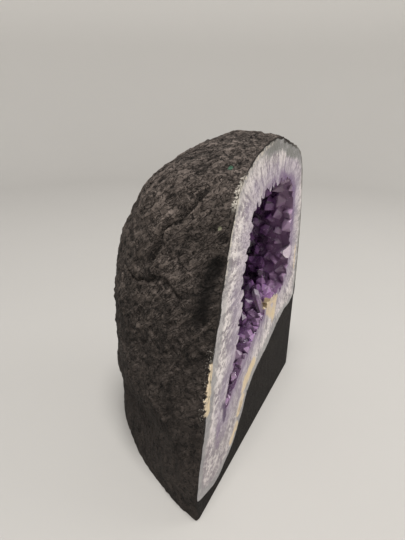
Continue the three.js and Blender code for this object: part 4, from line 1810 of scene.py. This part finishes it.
@dataclass
class CrystalCrust(Layer):
    """The amethyst points, grown together into one lining of the pocket.

    Attributes:
        node: The solid that it stands for.
        seed: Starts the order of the crystals.
        tries: Places that are tried.
        front: Sine of the direction in front of the cut up to which crystals stand.
        spacing: Least distance between two axes, for the smallest and for the largest crystals.
        width: Width over the flats, likewise.
        reach: Length above the root surface, likewise.
        root: Sunk length.
        width_rise: How much wider the narrowest full-grown crystal is than the narrowest small one.
        width_range: Range of the widths among the smallest.
        reach_range: Range of the lengths among the smallest.
        narrowness: Above 1 there are more narrow crystals than wide ones.
        slimness: Most length for each millimetre of width.
        tilt: Most lean off the wall's own direction, in radians.
        tip_slope: Height of a quartz point over the apothem of its prism.
        twist: Most that an edge of a crystal is turned out of its place, in radians.
        edges: Distance of its edges from its axis, least and most, as a share of the regular one.
        shoulders: Height of its pyramid at each side, least and most, as a share of the regular one.
        uneven: Most that three sides of its pyramid start higher than the others, likewise.
        off_middle: Most that its tip stands off its axis, likewise.
        gap: Clearance to the quartz wall.
        accents: Two crystals that stand out, as root, tip, width and tip slope.
        lump: Corners of the lump of limestone in the lower lip, its front before its back.
    """

    node: str = "amethyst_crust"
    seed: int = 20
    tries: int = 9000
    front: float = -0.08
    spacing: Pair = (4.4, 7.8)
    width: Pair = (5.0, 13.0)
    reach: Pair = (2.6, 10.0)
    root: float = 3.5
    width_rise: float = 2.5
    width_range: float = 3.0
    reach_range: float = 4.2
    narrowness: float = 1.3
    slimness: float = 1.3
    tilt: float = 0.34
    tip_slope: float = 1.27
    twist: float = 0.12
    edges: Pair = (0.88, 1.08)
    shoulders: Pair = (0.85, 1.1)
    uneven: float = 0.28
    off_middle: float = 0.22
    gap: float = 0.03
    accents: tuple = (
        ((8.0, -44.5, 101.0), (8.0, -38.0, 118.0), 4.6, 1.8),
        ((61.0, -47.6, 131.0), (38.0, -47.0, 139.0), 10.0, 4.6),
    )
    lump: tuple[Point, ...] = (
        (28.5, -51.0, 87.0), (37.5, -51.0, 99.5), (9.0, -51.0, 109.0),
        (29.5, -43.0, 86.0), (38.0, -43.0, 97.0), (10.5, -43.0, 106.0),
    )

    @staticmethod
    def size_at(point: np.ndarray, hollow: Hollow) -> float:
        """Tells how large crystals grow at a place.

        Args:
            point: Root of a crystal.
            hollow: The hollow that it stands in.

        Returns:
            0 where crystals are small, at the cut on the left, and 1 where they are full grown.
        """
        behind = smooth_step((point[1] - FRONT - 2.0) / 9.0)
        right = smooth_step((point[0] - hollow.centre[0]) / 30.0)
        right *= smooth_step((point[1] - FRONT + 2.0) / 6.0)
        return float(max(behind, right))

    def places(self, hollow: Hollow,
               random: np.random.Generator) -> list[tuple[np.ndarray, np.ndarray, float]]:
        """Chooses where crystals stand.

        Args:
            hollow: The hollow that they line.
            random: Source of random numbers.

        Returns:
            A root point, an inward direction and a size from 0 to 1 for each crystal.
        """
        roots = hollow.root_form(*ROOT_GRID)
        middle = on_cut(hollow.centre)
        chosen: list[tuple[np.ndarray, np.ndarray, float]] = []
        step = 0.03
        for _ in range(self.tries):
            phi = random.uniform(-math.pi, math.pi - 2 * step)
            psi = math.asin(random.uniform(self.front, 0.999))
            point = roots.at(phi, psi)
            size = self.size_at(point, hollow)
            apart = self.spacing[0] + (self.spacing[1] - self.spacing[0]) * size
            if any(np.linalg.norm(point - other) < apart for other, _, _ in chosen):
                continue
            round_the_wall = roots.at(phi + step, psi) - roots.at(phi - step, psi)
            into_the_stone = roots.at(phi, psi + step) - roots.at(phi, psi - step)
            normal = np.cross(round_the_wall, into_the_stone)
            normal /= np.linalg.norm(normal)
            if normal @ (middle - point) < 0.0:
                normal = -normal
            chosen.append((point, normal, size))
        return chosen

    def crystal(self, width: float, reach: float, tip_slope: float,
                random: np.random.Generator) -> tuple[np.ndarray, list]:
        """Shapes one six-sided point along +z, with its root below z = 0.

        Args:
            width: Width over the flats.
            reach: Height of its tip.
            tip_slope: Height of its pyramid over its apothem.
            random: Source of random numbers.

        Returns:
            Its vertices and faces.
        """
        corner = width / math.sqrt(3.0)
        pyramid = min(width / 2 * tip_slope, reach + self.root - 1.0)
        start = random.uniform(0.0, math.pi / 3)
        turns = start + np.arange(SIDES) * math.pi / 3 + random.uniform(-self.twist, self.twist, SIDES)
        radii = corner * random.uniform(*self.edges, SIDES)
        uneven = random.uniform(0.0, self.uneven) * pyramid * np.where(np.arange(SIDES) % 2, 1.0, -1.0)
        shoulders = reach - pyramid * random.uniform(*self.shoulders, SIDES) + uneven
        ring = np.stack([radii * np.cos(turns), radii * np.sin(turns)], axis=1)
        low = np.column_stack([ring, np.full(SIDES, -self.root)])
        high = np.column_stack([ring, np.clip(shoulders, -self.root + 0.5, reach - 1.0)])
        tip = [*(random.uniform(-self.off_middle, self.off_middle, 2) * corner), reach]
        points = np.vstack([low, high, [[0.0, 0.0, -self.root]], [tip]])
        faces = []
        for i in range(SIDES):
            j = (i + 1) % SIDES
            faces += [[2 * SIDES, j, i], [i, j, SIDES + j], [i, SIDES + j, SIDES + i],
                      [SIDES + i, SIDES + j, 2 * SIDES + 1]]
        return points, faces

    def build(self, hollow: Hollow, rim: np.ndarray, skin: np.ndarray) -> Piece:
        """Builds the crust.

        Args:
            hollow: The hollow that it lines.
            rim: Points along the pocket's rim.
            skin: Points along the rock skin.

        Returns:
            The piece.
        """
        random = np.random.default_rng(self.seed)
        crust = hollow.pocket_form(*LINING_GRID, -self.gap).closed("amethyst_points")
        cut_with(crust, Cut.TAKE_AWAY, [hollow.root_form(*LINING_GRID).closed("roots")])
        points = []
        for place, normal, size in self.places(hollow, random):
            least = self.width[0] + self.width_rise * size
            most = self.width[0] + self.width_range
            most += (self.width[1] - self.width[0] - self.width_range) * size
            width = least + (most - least) * random.random() ** self.narrowness
            low = self.reach[0] + size
            high = self.reach[0] + self.reach_range
            high += (self.reach[1] - self.reach[0] - self.reach_range) * size
            reach = min(low + (high - low) * random.random(), width * self.slimness)
            lean = normal + random.uniform(-self.tilt, self.tilt, 3)
            points.append(self._planted(place, lean, self.crystal(width, reach, self.tip_slope, random)))
        for root, tip, width, slope in self.accents:
            axis = np.array(tip) - np.array(root)
            shape = self.crystal(width, float(np.linalg.norm(axis)), slope, random)
            points.append(self._planted(np.array(root), axis, shape))
        log.info("%d crystals", len(points))
        points.append(make_mesh("lump", np.array(self.lump), [
            [0, 1, 2], [3, 5, 4], [0, 3, 4, 1], [1, 4, 5, 2], [2, 5, 3, 0]]))
        cut_with(crust, Cut.JOIN, points)
        cut_with(crust, Cut.KEEP_INSIDE, [hollow.pocket_form(*LINING_GRID, -self.gap).closed("pocket")])
        cut_with(crust, Cut.KEEP_INSIDE, [behind_the_cut()])
        store_distances(crust, rim, skin)
        self._store_length(crust, hollow)
        return crust

    @staticmethod
    def _planted(root: np.ndarray, axis: np.ndarray, shape: tuple[np.ndarray, list]) -> Piece:
        """Turns a crystal along an axis and sets it on its root."""
        turn = Vector((0.0, 0.0, 1.0)).rotation_difference(Vector(axis).normalized()).to_matrix()
        return make_mesh("point", shape[0] @ np.array(turn).T + root, shape[1])

    @staticmethod
    def _store_length(crust: Piece, hollow: Hollow) -> None:
        """Keeps how far each vertex stands above the roots.

        Args:
            crust: The crust.
            hollow: The hollow that it lines.
        """
        roots = hollow.root_form(*ROOT_GRID)
        row, column, reach = roots.cells(vertices_of(crust))
        store(crust, "length", roots.radii[row, column] - reach)


def mark_sawn_faces(piece: Piece) -> None:
    """Gives a piece's second finish to its faces on the cut.

    Args:
        piece: The piece.
    """
    for face in piece.data.polygons:
        if face.normal.y < -0.99 and abs(face.center.y - FRONT * MM) < 1e-5:
            face.material_index = 1


# The room

@dataclass
class Studio:
    """A pale round sweep, soft light from above, and the camera.

    Attributes:
        camera_place: Where the camera stands.
        heading: Its level direction, as x, y.
        pitch: Degrees that it looks down.
        roll: Degrees that it is turned clockwise.
        lens: Focal length in millimetres.
        sensor: Width in millimetres of the frame behind the lens.
        sweep_radius: Distance from the stone at which the floor begins to bend up.
        sweep_bend: Radius of the bend.
        sweep_height: Height of the wall's top.
        sides: Corners of the sweep, seen from above.
        drop: How far it lies under the foot.
        floor_colour: Colour of the floor.
        wall_colour: Colour of the wall high up.
        blotch_colour: Colour of its faint blotches.
        lamps: Name, place, size and power in watts of each lamp.
        lamp_colour: Colour of their light.
        lit_place: What they hang towards.
        sky: Strength of the light from all round.
        sky_colour: Its colour.
    """

    camera_place: Point = (-267.0, -133.15, 262.25)
    heading: Pair = (0.893, 0.450)
    pitch: float = 24.18
    roll: float = 0.68
    lens: float = 28.67
    sensor: float = 36.0
    sweep_radius: float = 900.0
    sweep_bend: float = 350.0
    sweep_height: float = 1000.0
    sides: int = 96
    drop: float = 0.2
    floor_colour: Colour = (0.370, 0.357, 0.340)
    wall_colour: Colour = (0.560, 0.545, 0.520)
    blotch_colour: Colour = (0.48, 0.47, 0.46)
    lamps: tuple[tuple[str, Point, float, float], ...] = (
        ("overhead", (-400.0, -240.0, 1840.0), 700.0, 44.0), ("fill", (500.0, -900.0, 700.0), 700.0, 3.6),
    )
    lamp_colour: Colour = (1.0, 0.985, 0.96)
    lit_place: Point = (0.0, 0.0, 100.0)
    sky: float = 0.36
    sky_colour: Colour = (0.95, 0.97, 1.0)

    def build_camera(self) -> None:
        """Sets the camera where the stone was seen from."""
        data = bpy.data.cameras.new("camera")
        data.lens = self.lens
        data.sensor_width = self.sensor
        camera = bpy.data.objects.new("camera", data)
        bpy.context.scene.collection.objects.link(camera)
        down = math.radians(self.pitch)
        ahead = Vector((self.heading[0] * math.cos(down), self.heading[1] * math.cos(down), -math.sin(down)))
        turn = ahead.to_track_quat("-Z", "Y") @ Quaternion((0.0, 0.0, 1.0), math.radians(self.roll))
        camera.matrix_world = Matrix.Translation(Vector(self.camera_place) * MM) @ turn.to_matrix().to_4x4()
        bpy.context.scene.camera = camera

    def build_sweep(self) -> None:
        """Makes the floor, which bends up into a wall all round."""
        flat = [(r, 0.0) for r in (0.0, 150.0, 400.0, self.sweep_radius)]
        turns = np.linspace(0.0, math.pi / 2, 13)[1:]
        bend = [(self.sweep_radius + self.sweep_bend * math.sin(t), self.sweep_bend * (1 - math.cos(t)))
                for t in turns]
        profile = flat + bend + [(self.sweep_radius + self.sweep_bend, self.sweep_height)]
        points = [(r * math.cos(a), r * math.sin(a), z - self.drop) for r, z in profile
                  for a in np.arange(self.sides) * 2 * math.pi / self.sides]
        sweep = make_mesh("sweep", np.array(points), ring_faces(len(profile), self.sides, turned=True))
        close_poles(sweep)
        shader = Shader("pale_floor")
        place = shader.place()
        blotch = shader.noise(place, 160.0, 2.0)
        height = shader.parts(place)[2]
        tone = shader.mix(height.rising(0.0, 900.0), self.floor_colour, self.wall_colour)
        tone = shader.mix(blotch * 0.1, tone, self.blotch_colour)
        sweep.data.materials.append(shader.finish({"Base Color": tone, "Roughness": 0.85}))
        sweep.data.shade_smooth()

    def build_lights(self) -> None:
        """Hangs one wide soft light over the stone and one before it, under a pale sky."""
        for name, place, size, power in self.lamps:
            data = bpy.data.lights.new(name, "AREA")
            data.shape = "DISK"
            data.size = size * MM
            data.energy = power
            data.color = self.lamp_colour
            lamp = bpy.data.objects.new(name, data)
            bpy.context.scene.collection.objects.link(lamp)
            place_m = Vector(place) * MM
            aim = (Vector(self.lit_place) * MM - place_m).to_track_quat("-Z", "Y")
            lamp.matrix_world = Matrix.Translation(place_m) @ aim.to_matrix().to_4x4()
        world = bpy.data.worlds.new("sky")
        world.use_nodes = True
        background = world.node_tree.nodes["Background"]
        background.inputs["Color"].default_value = colour(self.sky_colour)
        background.inputs["Strength"].default_value = self.sky
        bpy.context.scene.world = world

    def build(self) -> None:
        """Builds the whole studio."""
        self.build_camera()
        self.build_sweep()
        self.build_lights()
        bpy.context.scene.view_settings.view_transform = "Standard"


def main() -> None:
    """Builds the studio and every piece of the amethyst."""
    logging.basicConfig(level=logging.INFO, format="%(message)s")
    Studio().build()
    form = StoneForm()
    outside = form.outside()
    coarse = CoarseSkin()
    relief = coarse.relief(outside.points())
    relief[-1] = relief[-1].mean()
    rough = outside.grown(relief)

    paint = MattBlackPaint().material("matt_black_paint")
    rock, cement = RockSkin(), CementFoot()
    skin = rock.build(form, outside, rough)
    coarse.store_relief(skin, outside, rough)
    rock.dress(skin, paint)
    foot = cement.build(form, rough)
    coarse.store_relief(foot, outside, rough)
    cement.dress(foot, paint)

    quartz = SawnQuartz().material("sawn_quartz")
    hollow, pale_wall, crystals = Hollow(), QuartzWall(), CrystalCrust()
    wall = pale_wall.build(form, outside, hollow)
    pale_wall.dress(wall, quartz)
    rim = hollow.pocket_form(*ROOT_GRID).points()[0]
    crust = crystals.build(hollow, rim, outside.points()[0])
    crystals.dress(crust, Amethyst().material("amethyst"), quartz)
    mark_sawn_faces(crust)


if __name__ == "__main__":
    main()
